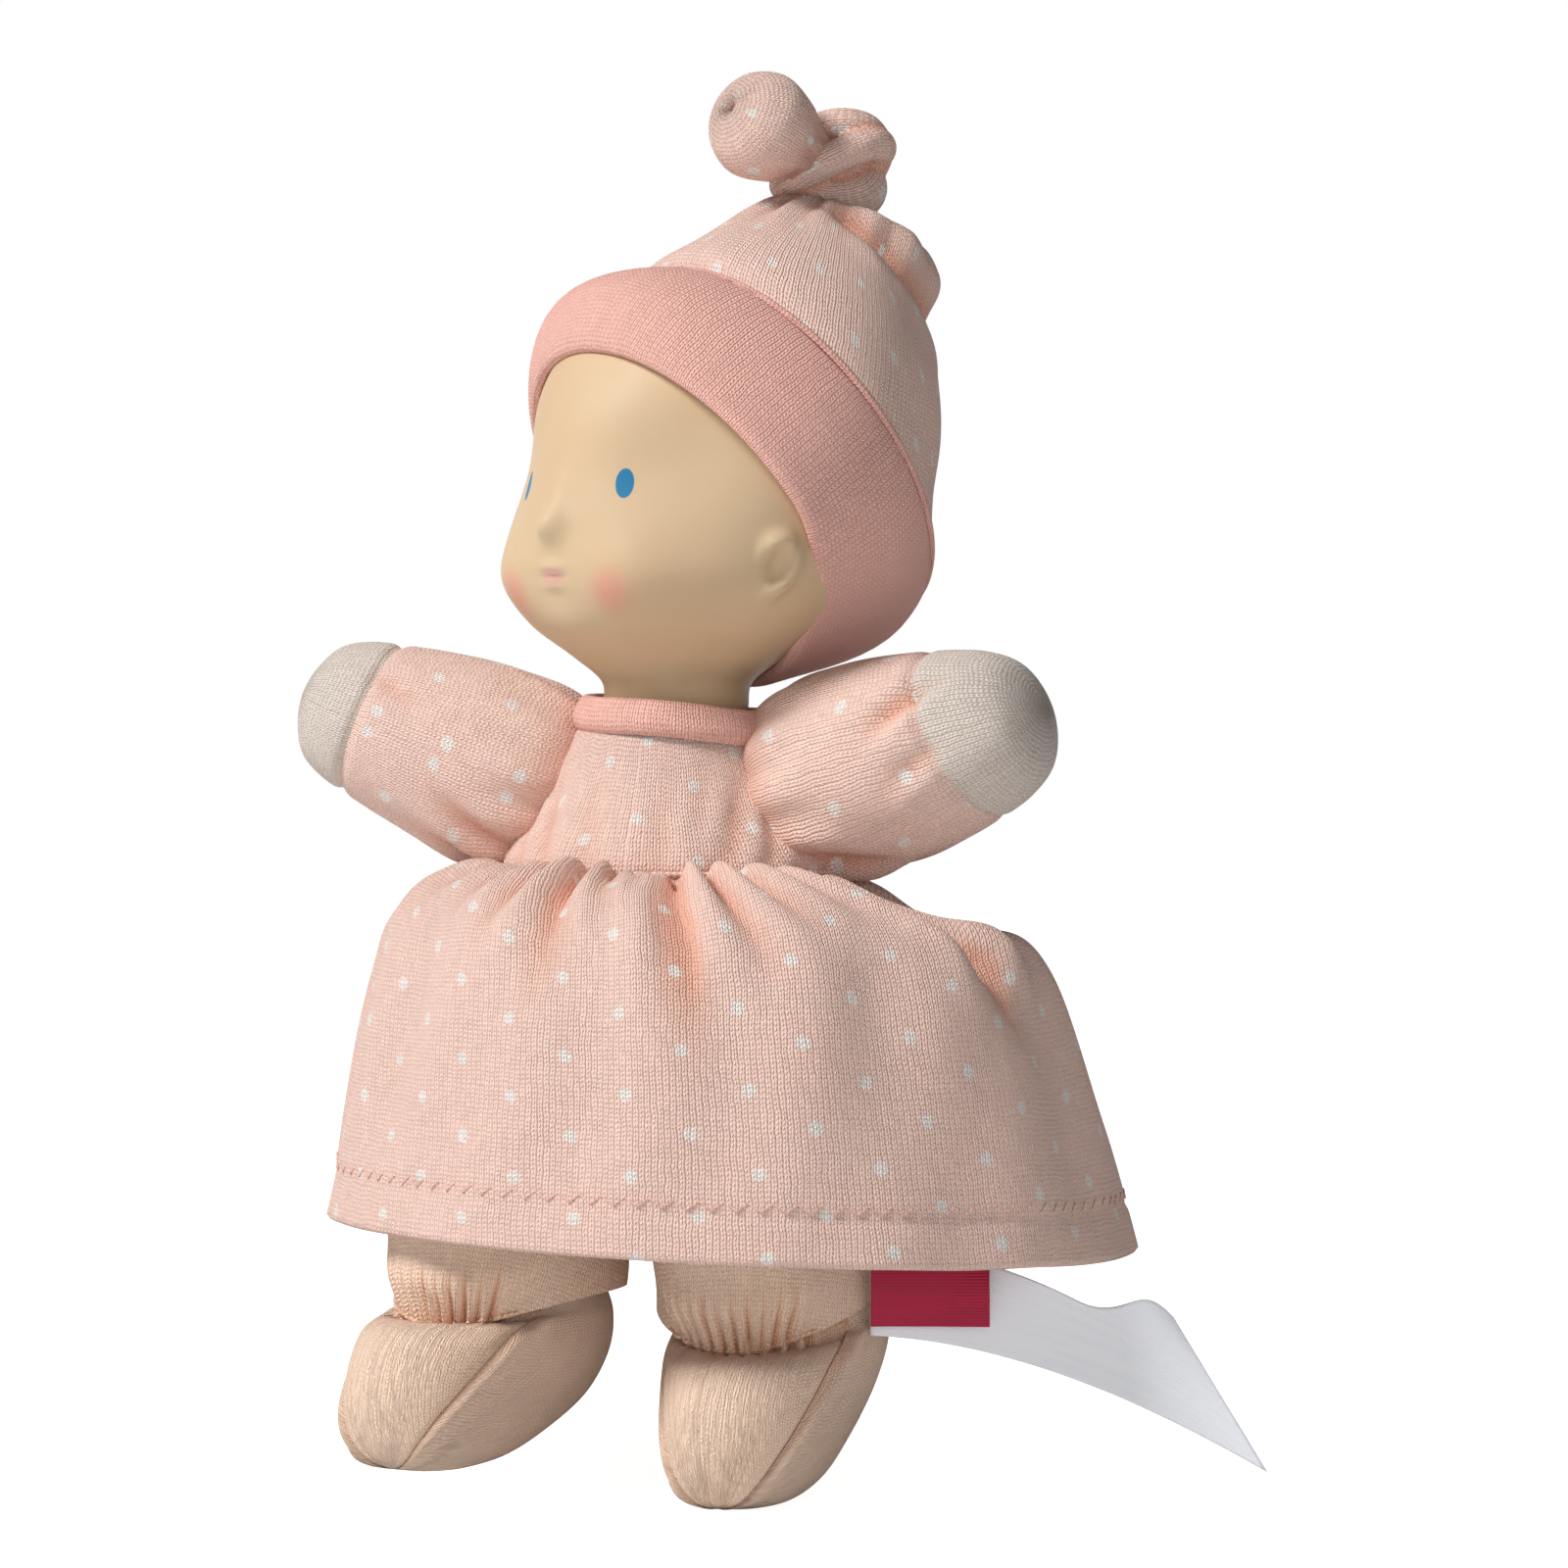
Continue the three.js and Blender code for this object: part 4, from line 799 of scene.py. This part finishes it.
arms = {
    "pivot": (22.4, 1, 96.6), "rise": {"left": 16, "right": 20}, "forward": 9, "plump": {"left": 1.08, "right": 1.02},
    "bend": (-4, 9), "gather": 0.5,  # where the sleeve bends, along from the shoulder, and depth of its gathers there
    # [distance from the shoulder, radius] of sleeve and hand
    "outline": [
        (-9.5, 6.5), (-8, 9.8), (-4.5, 12.2), (1, 13.4), (9, 13.4), (17, 12.3), (23.4, 11), (27.6, 10), (31, 8.2),
        (33, 5), (34, 1.9), (34.2, 0.05),
    ],
    "seam": {"left": 21.2, "right": 23.6}, "seamSlant": {"left": 1.6, "right": 0.4}, "seamDepth": 0.6,
    "columns": 120, "sleeveRings": 90, "handRings": 64, "girth": 78.0, "patternShift": {"left": (20, 3), "right": (0, 0)},
    # [angle from the front, along, half width in degrees, half length, depth, slant in degrees a millimetre] of each tuck
    "tucks": {
        "left": [
            (26, 18.5, 8, 4.5, 1.5, 2.4), (-14, 18.5, 7, 4.0, 0.7, 1.5), (-62, 3, 10, 6, 1.3, -2.0),
            (-100, 5, 9, 7, 1.1, 1.0),
        ],
        "right": [
            (-40, 2, 9, 6, 1.2, 2.0), (-70, 4, 9, 7, 1.3, 1.0), (30, 20, 9, 4.0, 0.6, 1.5), (-105, 6, 9, 7, 1.0, -1.0),
        ],
    },
}


def limbRadius(outline, along):  # radius at a distance along a limb, on the smooth line through its outline
    fine = follow(outline, np.linspace(0, 1, 400))
    return np.interp(along, fine[:, 0], fine[:, 1])


def arm(side):
    word = "left" if side > 0 else "right"
    rise = math.radians(arms["rise"][word])
    turn = -side * arms["forward"]
    ahead = spun([side * math.cos(rise), 0, math.sin(rise)], turn)
    front = spun([0, -1, 0], turn)
    up = spun([-side * math.sin(rise), 0, math.cos(rise)], turn)
    pivot = np.array(arms["pivot"]) * (side, 1, 1)
    angle = roundTurn(arms["columns"])
    degrees = np.degrees(angle)
    seamAt = arms["seam"][word] - arms["seamSlant"][word] * np.sin(angle)
    start, end = arms["outline"][0][0], arms["outline"][-1][0]

    def shell(along):
        plump = 1 + (arms["plump"][word] - 1) * (1 - ease(along, 22, 34))
        gathers = arms["gather"] * np.cos(11 * angle + side) * (1 - ease(along, -2, 8)) * ease(along, -9, -5)
        fold = 0
        for at, place, wide, long, deep, slant in arms["tucks"][word]:
            line = at + slant * (along - place)
            fold = fold + deep * crease(apart(degrees, line), 0, wide) * hump(along, place, long)
        seam = -arms["seamDepth"] * hump(along, seamAt, 0.8)
        radius = limbRadius(arms["outline"], along) * plump + gathers + fold + seam
        points = pivot + along[..., None] * ahead + radius[..., None] * spokes(angle, front, up)
        # the tucks' depth also sets their painted shade
        return points, np.clip(-0.8 * fold, 0, 1)

    share = np.linspace(0, 1, arms["sleeveRings"])[:, None]
    points, fold = shell(start + (seamAt - start) * share)
    # painted shade in the tucks and close to the shoulder
    fold = np.clip(fold + 0.8 * (1 - ease(share, 0.05, 0.3)), 0, 1)
    shiftAcross, shiftDown = arms["patternShift"][word]  # so that the two sleeves' dots differ
    u = girthMap(arms["girth"], arms["columns"]) + shiftAcross
    v = wrapped(arcs(points)) + shiftDown
    sleeve = surface(f"{word}JerseySleeve", points, u, v, dottedJersey, fold=fold)
    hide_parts(f"{word}_sleeve", f"{word}_arm_filling")
    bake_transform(sleeve)
    capShare = np.sin(np.linspace(0, 1, arms["handRings"]) * np.pi / 2)[:, None]
    points, fold = shell(seamAt + (end - seamAt) * capShare)
    # painted shade in the tucks and next to the seam
    fold = np.clip(fold + 0.4 * (1 - ease(capShare, 0, 0.12)), 0, 1)
    v = wrapped(arcs(points))
    hand = surface(f"{word}JerseyHand", points, u, v, creamJersey, caps=(False, True), fold=fold)
    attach(hand, f"{word}_arm")
    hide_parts(f"{word}_hand_cap")


for side in (1, -1):
    arm(side)
print("bodice, collar and arms made")

skirt = {
    # [height, half width, half depth, set back, set left] from the waist's seam over the gathers to the hem
    "rows": [
        (83.3, 23.4, 19.4, 0, 0), (84.2, 25.6, 21.6, 0, 0.1), (84.3, 30, 25.6, 0.1, 0.5), (82, 37.4, 31.6, 0.3, 1.2),
        (77, 43.6, 37.6, 0.8, 3), (70.6, 47, 41.4, 1.4, 4.2), (62, 49.8, 44.6, 2, 5), (50, 53, 47.4, 3, 5.8),
        (34, 56.8, 50.6, 4, 6.4),
    ],
    "columns": 420, "rings": 130, "thickness": 0.9, "insideFrom": 7, "cut": (345, 66), "slope": 2.2, "sag": 6.6,
    "hemStitch": 6.0, "hemGroove": 0.35, "stitchLift": 0.12, "stitchRadius": 0.11,
    # [angle, depth, half width in degrees, length, drift in degrees] of each gather below the waist's seam
    "gathers": [
        (-62, 1.2, 3.0, 18, -8), (-46, 0.8, 2.4, 14, -6), (-31, 0.9, 2.2, 17, -5), (-20, 1.3, 2.2, 22, -4),
        (-9, 2.2, 2.3, 28, -3), (-1, 1.6, 2.0, 22, -1), (5, 1.5, 1.9, 22, 0), (10.5, 1.9, 2.0, 28, 0),
        (16.5, 2.7, 2.3, 34, -2), (24, 1.9, 2.2, 26, 3), (33, 1.3, 2.3, 20, 5), (45, 0.9, 2.6, 15, 6),
        (84, 1.0, 3, 16, 4), (98, 1.2, 3, 18, 4), (111, 1.3, 3, 20, 4), (124, 1.5, 3, 22, 4), (138, 1.6, 3, 24, 3),
        (151, 1.8, 2.8, 26, 2), (163, 1.6, 2.6, 24, 1), (174, 1.9, 2.6, 28, 0), (185, 1.6, 2.6, 24, -1),
        (196, 1.8, 2.6, 27, -1), (208, 1.5, 2.8, 23, -2), (221, 1.6, 3, 22, -3), (235, 1.3, 3, 20, -4),
        (250, 1.5, 4, 22, -8), (266, 1.1, 3, 16, -6), (282, 0.9, 3, 14, -5),
    ],
    # [angle, depth, half width in degrees, first and last drop] of each long soft fold
    "folds": [
        (-42, 1.5, 10, 8, 66), (-4, 1.6, 8, 8, 44), (20, 1.2, 7, 10, 46), (48, 1.2, 10, 14, 70), (84, 1.6, 12, 20, 72),
        (118, 1.8, 12, 10, 72), (152, 1.6, 11, 8, 76), (190, 1.7, 12, 8, 76), (228, 1.8, 12, 8, 76),
        (264, 1.6, 12, 10, 72), (292, 1.3, 11, 14, 72),
    ],
    "gatherStrength": 1.45, "foldStrength": 1.5, "ripple": 0.3,
    # the deep tuck beside the left sleeve, and the puff of cloth behind it
    "tuck": {"from": 58, "to": 75, "depth": 4.2, "half": 4.6, "puff": 1.0, "puffAt": 93},
}


def skirtGrow(drop, degrees):
    gathered = 0
    for at, deep, wide, length, drift in skirt["gathers"]:
        line = at + drift * drop / length
        width = wide * (1 + 0.9 * drop / length)
        fade = (1 - ease(drop, 0.25 * length, 1.35 * length)) * ease(drop, 0.5, 3)
        gathered = gathered + skirt["gatherStrength"] * deep * crease(apart(degrees, line), 0, width) * fade
    tuck = skirt["tuck"]
    line = tuck["from"] + (tuck["to"] - tuck["from"]) * ease(drop, 2, 26)
    fade = ease(drop, 0.5, 4) * (1 - ease(drop, 20, 42))
    gathered = gathered + tuck["depth"] * crease(apart(degrees, line), 0, tuck["half"]) * fade
    grow = gathered + tuck["puff"] * hump(apart(degrees, tuck["puffAt"]), 0, 17) * hump(drop, 16, 9)
    for at, deep, wide, first, last in skirt["folds"]:
        fade = ease(drop, first, first + 18) * (1 - 0.7 * ease(drop, last - 20, last))
        far = apart(degrees, at)
        grow = grow + skirt["foldStrength"] * deep * (0.5 * hump(far, 0, 2 * wide) - hump(far, 0, wide)) * fade
    grow = grow + skirt["ripple"] * np.sin(np.radians(degrees) * 17 + drop * 0.12) * ease(drop, 12, 30)
    # the second value is painted shade in the gathers
    return grow, np.clip(-gathered / 1.7, 0, 1)


def skirtCloth():
    degrees = (np.arange(skirt["columns"]) / skirt["columns"] - 0.5)[None] * 360
    rows = follow(skirt["rows"], np.linspace(0, 1, skirt["rings"]))
    base = ovalRings(rows, np.radians(degrees))
    drop = arcs(base).mean(axis=1, keepdims=True)
    lateral = np.sin(np.radians(degrees - camera["azimuth"]))
    base[..., 2] -= skirt["slope"] * lateral * ease(drop, 20, 66)  # the hem hangs lower towards the left leg
    base[..., 2] -= skirt["sag"] * ease(lateral, 0.4, 1) * hump(drop, 12, 10)
    grow, fold = skirtGrow(drop, degrees)
    hem = drop[-1, 0] - skirt["hemStitch"]
    outer = pushed(base, grow - skirt["hemGroove"] * hump(drop, hem, 0.6))
    back = np.arange(skirt["rings"])[: skirt["insideFrom"] : -2]  # the inside runs back up on every second ring
    inner = pushed(outer, np.full(outer.shape[:2], -skirt["thickness"]))[back]
    lip = (outer[-1:] + inner[:1]) / 2 - skirt["thickness"] / 2 * upward
    points = np.concatenate([outer, lip, inner, outer[:1]])
    reach = np.hypot(*np.moveaxis(outer[..., :2] - rows[:, None, [4, 3]], -1, 0)).mean(axis=1, keepdims=True)
    turn = np.radians(np.append(degrees, 180.0))[None]
    u = turn * (0.5 * reach + 0.5 * reach[-1:])
    u = np.concatenate([u, u[-1:], u[back], u[:1]])
    down = arcs(outer).mean(axis=1, keepdims=True)
    v = np.concatenate([down, down[-1:] + 0.5, down[back], down[:1]])
    # painted shade: the skirt's inside takes half the fold colour all over
    folds = np.concatenate([fold, fold[-1:], 0.5 + 0 * fold[back], fold[:1]])
    made = surface("gatheredJerseySkirt", points, u, v, dottedJersey, fold=folds, shut=True)
    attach(made, "torso")
    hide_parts("skirt")
    ring = int(np.argmin(np.abs(drop[:, 0] - hem)))
    line = []
    for index in range(0, skirt["columns"], 2):  # short slanted stitches, side by side
        step = ring - (index // 2) % 2
        near, far = outer[step, index], outer[step - 1, index]
        out = (near - base[ring].mean(axis=0)) * (1, 1, 0)
        line.append((near + far) / 2 + skirt["stitchLift"] * out / np.linalg.norm(out))
    thick = skirt["stitchRadius"]
    stitch = tube("hemZigzagStitch", line, thick, pinkThread, sides=6, closed=True)
    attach(stitch, "torso")


skirtCloth()
print("skirt made")

lowerBody = {
    "columns": 72, "rings": 36, "girth": 146, "swell": 0.3,
    # [height, half width, half depth, set back], from underneath to the waist
    "rows": [
        (56, 1, 1, -6), (56.6, 5, 4, -6), (58.5, 12.4, 9.4, -6), (62.5, 20.4, 15, -5), (69, 25.4, 18.9, -2.5),
        (77, 25.6, 20.4, -0.5), (80.6, 24.6, 20.2, 0),
    ],
}


def lowerBodyPanel():
    angle = roundTurn(lowerBody["columns"])
    rows = follow(lowerBody["rows"], np.linspace(0, 1, lowerBody["rings"]))
    points = ovalRings(rows, angle, lowerBody["swell"] * np.sin(5 * angle))
    u, v = girthMap(lowerBody["girth"], lowerBody["columns"]), wrapped(arcs(points))
    made = surface("peachLowerBody", points, u, v, peachJersey, caps=(True, False))
    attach(made, "torso")
    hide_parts("lower_body_panel", "torso_filling", "neck_plug")


legs = {
    "hip": (17.4, -12, 58), "ankle": (18.4, -18.4, 18.4), "columns": 150, "rings": 110, "girth": 98.0,
    "swing": {"left": 0, "right": 7.5}, "aside": {"left": 0, "right": -1.8}, "bend": (-9, 3),
    # [distance from the hip, radius] of the leg's cloth
    "outline": [
        (-7, 8), (-5.5, 10.6), (2, 12.4), (12, 14.8), (21, 16.4), (28, 16.4), (34, 15.6), (38, 14.8), (42.5, 14),
    ],
    "endMiddle": 33.2, "endSlant": 7.0, "endRadius": 15.7, "endBack": 5.3,  # its slanted lower edge
    "puff": 1.7, "pinch": 0.5, "slack": 0.4, "wrinkle": 0.6,  # heights and depths of its soft forms
    "pleatArc": 44, "pleatStep": 9.4, "pleatDepth": 1.25, "threadArc": 14, "threadRadius": 0.24, "threadLift": 0.1,
}
feet = {
    "toeOut": {"left": 0, "right": 14}, "toesUp": {"left": 0, "right": 3}, "innerHalf": 0.77,
    "rings": 100, "capColumns": 96, "soleColumns": 120, "tuckUnder": 2,  # degrees that the sole runs under the cap
    # [forward, up] from the ankle down the instep to the toe
    "top": [
        (8.4, 5.0), (9.6, 1.6), (12.8, 1.8), (17.4, 0.2), (20.6, -4.4), (21.6, -9.6), (20.6, -14), (18.6, -17),
        (16.8, -18.1), (15.8, -18.3),
    ],
    # [forward, up] down behind the heel and along underneath to the toe
    "under": [
        (-18, 19), (-21.4, 13), (-24.8, 7.8), (-25.2, 1.8), (-21.4, -4.6), (-13.2, -10.2), (-4, -14.6), (5, -17),
        (11.8, -18.1), (15.6, -18.3),
    ],
    "half": [13.0, 14.5, 15.6, 15.8, 14.8, 13.4, 11.8, 9.2, 5.2, 0.4],  # half the width there
    # how far round the cap's edge lies from the top, in degrees, from the ankle to the toe
    "capEdge": [(68,), (62,), (52,), (30,), (8,)],
}


def anklePleats(turn, side, uneven, pace, width):  # drawn up side by side over the front
    pleats = 0
    for index, at in enumerate(np.arange(-legs["pleatArc"], legs["pleatArc"] + 1, legs["pleatStep"])):
        deep = legs["pleatDepth"] * (1 + uneven * math.sin(index * pace + side))
        pleats = pleats + deep * crease(apart(turn, at), 0, width)
    return pleats


def legAndFoot(side):
    word = "left" if side > 0 else "right"
    swing = math.radians(legs["swing"][word])
    outward = side * feet["toeOut"][word]
    hip = np.array(legs["hip"]) * (side, 1, 1)

    def swung(vector):  # forward about the hip
        x, y, z = vector
        return np.array([x, y * math.cos(swing) + z * math.sin(swing), z * math.cos(swing) - y * math.sin(swing)])

    shin = swung(np.array(legs["ankle"]) * (side, 1, 1) + (legs["aside"][word], 0, 0) - hip)
    ankle = hip + shin
    down = shin / np.linalg.norm(shin)
    front = spun([0, -1, 0], outward)
    front = front - down * np.dot(front, down)
    front /= np.linalg.norm(front)
    across = np.cross(front, -down)
    across *= np.sign(across[0])
    angle = roundTurn(legs["columns"])
    degrees = np.degrees(angle)
    facing = ease(np.cos(angle), 0.35, 0.85)  # only the front is gathered
    endAt = legs["endMiddle"] + legs["endSlant"] * np.cos(angle)
    endSide, endAhead = legs["endBack"] * np.sin(angle), legs["endBack"] * np.cos(angle)
    endReach = np.sqrt(legs["endRadius"] ** 2 - endSide**2) - endAhead
    start = legs["outline"][0][0]
    share = np.linspace(0, 1, legs["rings"])[:, None]
    along = start + (endAt - start) * share
    toEnd = endAt - along
    mix = 1 - ease(toEnd, 0, 17)
    radius = limbRadius(legs["outline"], along) * (1 - mix) + endReach * mix
    puff = facing * (legs["puff"] * hump(toEnd, 5.5, 3.2) - legs["pinch"] * hump(toEnd, 0, 1.2))
    pleats = anklePleats(degrees, side, 0.35, 2.3, 2.2) * (1 - ease(toEnd, 1.5, 10))
    slack = legs["slack"] * np.sin(3 * angle + side) * hump(along, 20, 9)
    atSide = (1 - facing) * ease(np.cos(angle), -0.6, 0.4)
    wrinkle = -legs["wrinkle"] * atSide * hump(toEnd, 9 + 3 * np.cos(angle), 1.6)
    radius = radius + puff + pleats + slack + wrinkle
    ring = spokes(angle, front, across)
    points = hip + along[..., None] * down + radius[..., None] * ring
    # painted shade in the ankle pleats, along the gathered edge and high up under the skirt
    fold = np.clip(-0.7 * pleats + 0.6 * facing * hump(toEnd, 0, 1.5) + 0.9 * (1 - ease(along, 14, 30)), 0, 1)
    u, v = girthMap(legs["girth"], legs["columns"]), wrapped(arcs(points))
    leg = surface(f"{word}JerseyLeg", points, u, v, peachJersey, caps=(True, False), fold=fold)
    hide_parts(f"{word}_leg_panel", f"{word}_leg_filling")
    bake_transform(leg)

    # the gathering thread lies in the groove at the front of the leg's edge
    order = np.argsort(apart(degrees, 0))
    order = order[np.abs(apart(degrees, 0)[order]) < legs["pleatArc"] + legs["threadArc"]]
    path = (points[-2] + legs["threadLift"] * ring[0])[order]
    thread = tube(f"{word}GatherThread", path, legs["threadRadius"], peachThread, sides=8)
    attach(thread, f"{word}_leg")
    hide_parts(f"{word}_ankle_thread")

    lift = math.radians(feet["toesUp"][word])
    level, upright = spun(swung((0, -1, 0)), outward), spun(swung((0, 0, 1)), outward)
    forward = level * math.cos(lift) + upright * math.sin(lift)
    upright = upright * math.cos(lift) - level * math.sin(lift)
    sideways = spun([1, 0, 0], outward)
    shares = np.linspace(0, 1, feet["rings"])
    size = shares[:, None]
    top, under = follow(feet["top"], shares), follow(feet["under"], shares)
    half = follow(np.array(feet["half"])[:, None], shares)
    middle, reach = (top + under) / 2, (top - under) / 2
    edge = follow(feet["capEdge"], shares)
    ends = ease(size, 0.1, 0.17) * (1 - ease(size, 0.93, 1))

    def footShell(turn, grow):
        turn = np.radians(turn)
        long = np.linalg.norm(reach, axis=1)[:, None]
        rise = (np.cos(turn) * (1 + grow / np.maximum(long, 1)))[..., None]
        narrow = np.where(np.sin(turn) * side < 0, feet["innerHalf"], 1)
        wide = (np.sin(turn) * (half + grow) * narrow)[..., None]
        spot = middle[:, None] + reach[:, None] * rise
        return ankle + spot[..., :1] * forward + spot[..., 1:] * upright + wide * sideways

    def footPiece(name, turn, grow, fold, nodes):
        points = footShell(turn, grow)
        u = np.cumsum(np.linalg.norm(np.diff(points, axis=1, prepend=points[:, :1]), axis=-1), axis=1)
        u = u - u[:, -1:] / 2
        made = surface(name, points, u, arcs(points), peachJersey, wrap=False, fold=fold)
        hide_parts(*nodes)
        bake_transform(made)

    place = np.linspace(-1, 1, feet["capColumns"])[None]
    turn = place * edge
    fromSeam = np.abs(place)
    grow = 0.9 * hump(size, 0.38, 0.18) * hump(place, 0, 0.7) - 0.8 * hump(fromSeam, 1, 0.07) * ends
    pleats = anklePleats(turn, 0, 0.3, 1.9, 2.4) * (1 - ease(size, 0.14, 0.33))
    # painted shade in the pleats by the ankle, where the cap meets the leg, and along its seam
    fold = np.clip(-0.7 * pleats + 0.5 * (1 - ease(size, 0.11, 0.17)) + 0.35 * hump(fromSeam, 1, 0.08), 0, 1)
    footPiece(f"{word}JerseyToeCap", turn, grow + pleats, fold, (f"{word}_toe_cap", f"{word}_foot_filling"))
    place = np.linspace(0, 1, feet["soleColumns"])[None]
    overlap = feet["tuckUnder"]
    turn = edge - overlap + place * (360 + 2 * overlap - 2 * edge)
    near = np.minimum(place, 1 - place) * (360 - 2 * edge)  # degrees from the seam
    grow = (0.7 * hump(near, 7, 6) - 0.5 * hump(near, 0, 3) - 0.35 * hump(near, 20, 7)) * ends
    # painted shade along the sole's seam
    footPiece(f"{word}JerseySole", turn, grow, 0.35 * hump(near, 0, 4), (f"{word}_sole_panel",))


lowerBodyPanel()
for side in (1, -1):
    legAndFoot(side)
print("legs and feet made")


# Two threads that draw in the waist and the neck; the neck's lies down inside the collar
threads = {"radius": 0.35, "waist": (84.0, 24.9, 20.9, 0), "neckInset": 0.5, "neckLower": 2.4}


def drawThread(name, node, body, row):
    path = ovalRings(np.array([row]), roundTurn(120))[0]
    made = tube(name, path, threads["radius"], pinkThread, sides=8, closed=True)
    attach(made, body)
    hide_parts(node)


cordLow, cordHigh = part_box("neck_tie_cord")
cordReach = (cordHigh.x - cordLow.x) / 2 / mm - threads["neckInset"]
cordHeight = (cordLow.z + cordHigh.z) / 2 / mm - threads["neckLower"]
drawThread("waistThread", "waist_gathering_thread", "torso", threads["waist"])
drawThread("neckCord", "neck_tie_cord", "head", (cordHeight, cordReach, cordReach, 0))

# Both ribbons leave the skirt's seam: lengths in millimetres, angles in degrees, the flat cut in metres
labels = {
    "heading": 20, "rings": 70, "columns": 30, "halfThickness": 0.15,
    "tab": {
        "length": 16, "width": (9.6, 9.6), "below": (4.8, 4.8), "droop": 0, "lean": 0, "bow": 0.3,
        "cut": (0.01, 0.016), "held": "folded",
    },
    "ribbon": {  # it flares to its slanted end
        "length": 49, "width": (12.4, 24), "below": (6.2, 8.8), "droop": 17.1, "lean": 31, "bow": 0.8,
        "cut": (0.017, 0.049), "held": "hung",
    },
}


def label(name, node, body, size, material, slot):
    joint = next(j for j in frame["record"]["behaviour"]["joints"] if j["child"] == body)
    start = (np.array(joint["pos_m"]) - dollAxis) / mm
    turn = math.radians(labels["heading"])
    ahead = np.array([math.cos(turn), math.sin(turn), 0])
    sideways = np.array([-ahead[1], ahead[0], 0])
    share = np.linspace(0, 1, labels["rings"])[:, None]
    first, last = size["width"]
    belowFirst, belowLast = size["below"]
    wide = first + (last - first) * ease(share, 0.6, 1)
    below = belowFirst + (belowLast - belowFirst) * share
    across = np.linspace(0, 1, labels["columns"])[None] * wide - below
    lean = math.radians(size["lean"]) * share**1.5
    middle = start + ahead * size["length"] * share - upward * size["droop"] * share**2
    middle = middle + sideways * size["bow"] * np.sin(share * np.pi)
    rise = upward * np.cos(lean) - ahead * np.sin(lean)
    curl = (0.5 * (across / first) ** 2 * np.sin(share * 7) + 1.6 * (across / first) * share**2)[..., None]
    sheet = middle[:, None] + across[..., None] * rise[:, None] + curl * sideways
    half = labels["halfThickness"] * sideways
    shape = np.concatenate([sheet + half, (sheet - half)[:, ::-1]], 1)
    u = np.concatenate([across, across[:, ::-1], across[:, :1]], 1)
    made = surface(name, shape, u, share * size["length"], material, caps=(True, True))
    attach(made, body)
    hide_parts(node)


label("satinTab", "seam_label_tab", "label_tab", labels["tab"], crimsonSatin, "crimson_satin")
label("satinRibbon", "care_label_ribbon", "label_ribbon", labels["ribbon"], whiteSatin, "white_satin")
print("threads and labels made")

# Lamps as [right, towards the viewer, up] in millimetres, their size in metres and their watts
studio = {
    "paper": "#f7f7f7", "world": 0.14, "paperGlow": 0.9, "floorHalf": 3, "lampsAim": 95,
    "lamps": {"keySoftbox": ((-820, 420, 1020), 0.45, 17.5), "fillSoftbox": ((160, 950, 90), 0.8, 2.8)},
}


def seenDirectly(tree):  # 1 for what the camera, a gloss or clear matter looks at, 0 for the light it gives
    path = add(tree, "ShaderNodeLightPath").outputs
    through = {0: path["Is Glossy Ray"], 1: path["Is Transmission Ray"]}
    either = add(tree, "ShaderNodeMath", through, operation="MAXIMUM")
    return add(tree, "ShaderNodeMath", {0: path["Is Camera Ray"], 1: either}, operation="MAXIMUM")


def stageAndLight():
    lens = bpy.data.cameras.new("view")
    lens.lens = camera["lens"]
    lens.sensor_width = 36
    lens.clip_start = 0.05
    shot = bpy.data.objects.new("view", lens)
    scene.collection.objects.link(shot)
    aim = inFrame(right * camera["aimRight"] + upward * camera["aimHeight"])
    shot.location = inFrame(right * camera["aimRight"] + toward * camera["distance"] + upward * camera["height"])
    shot.rotation_mode = "QUATERNION"
    shot.rotation_quaternion = (aim - shot.location).to_track_quat("-Z", "Y")
    scene.camera = shot

    world = bpy.data.worlds.new("studio")
    world.use_nodes = True
    tree = world.node_tree
    tree.nodes.clear()
    soft = add(tree, "ShaderNodeBackground", {"Color": (1, 1, 1, 1), "Strength": studio["world"]})
    shown = add(tree, "ShaderNodeBackground", {"Color": (1, 1, 1, 1), "Strength": 1.0})
    both = add(tree, "ShaderNodeMixShader", {0: seenDirectly(tree), 1: soft, 2: shown})
    add(tree, "ShaderNodeOutputWorld", {"Surface": both})
    scene.world = world

    for name, (place, size, power) in studio["lamps"].items():
        light = bpy.data.lights.new(name, "AREA")
        light.shape = "DISK"
        light.size = size
        light.energy = power
        made = bpy.data.objects.new(name, light)
        scene.collection.objects.link(made)
        made.location = inFrame(place[0] * right + place[1] * toward + place[2] * upward)
        made.rotation_mode = "QUATERNION"
        made.rotation_quaternion = (inFrame([0, 0, studio["lampsAim"]]) - made.location).to_track_quat("-Z", "Y")

    half = studio["floorHalf"]
    mesh = bpy.data.meshes.new("studioFloor")
    mesh.from_pydata([(-half, -half, 0), (half, -half, 0), (half, half, 0), (-half, half, 0)], [], [(0, 1, 2, 3)])
    floor = bpy.data.objects.new("studioFloor", mesh)
    scene.collection.objects.link(floor)
    paper, tree = blank("paleStudioPaper")  # matte, so that it only keeps the soft shadow
    matte = add(tree, "ShaderNodeBsdfDiffuse", {"Color": linear(studio["paper"])})
    glow = add(tree, "ShaderNodeEmission", {"Color": (1, 1, 1, 1), "Strength": studio["paperGlow"]})
    lit = add(tree, "ShaderNodeAddShader", {0: matte, 1: glow})
    both = add(tree, "ShaderNodeMixShader", {0: seenDirectly(tree), 1: matte, 2: lit})
    add(tree, "ShaderNodeOutputMaterial", {"Surface": both})
    mesh.materials.append(paper)


stageAndLight()
scene.view_settings.view_transform = "Standard"
bpy.context.view_layer.update()
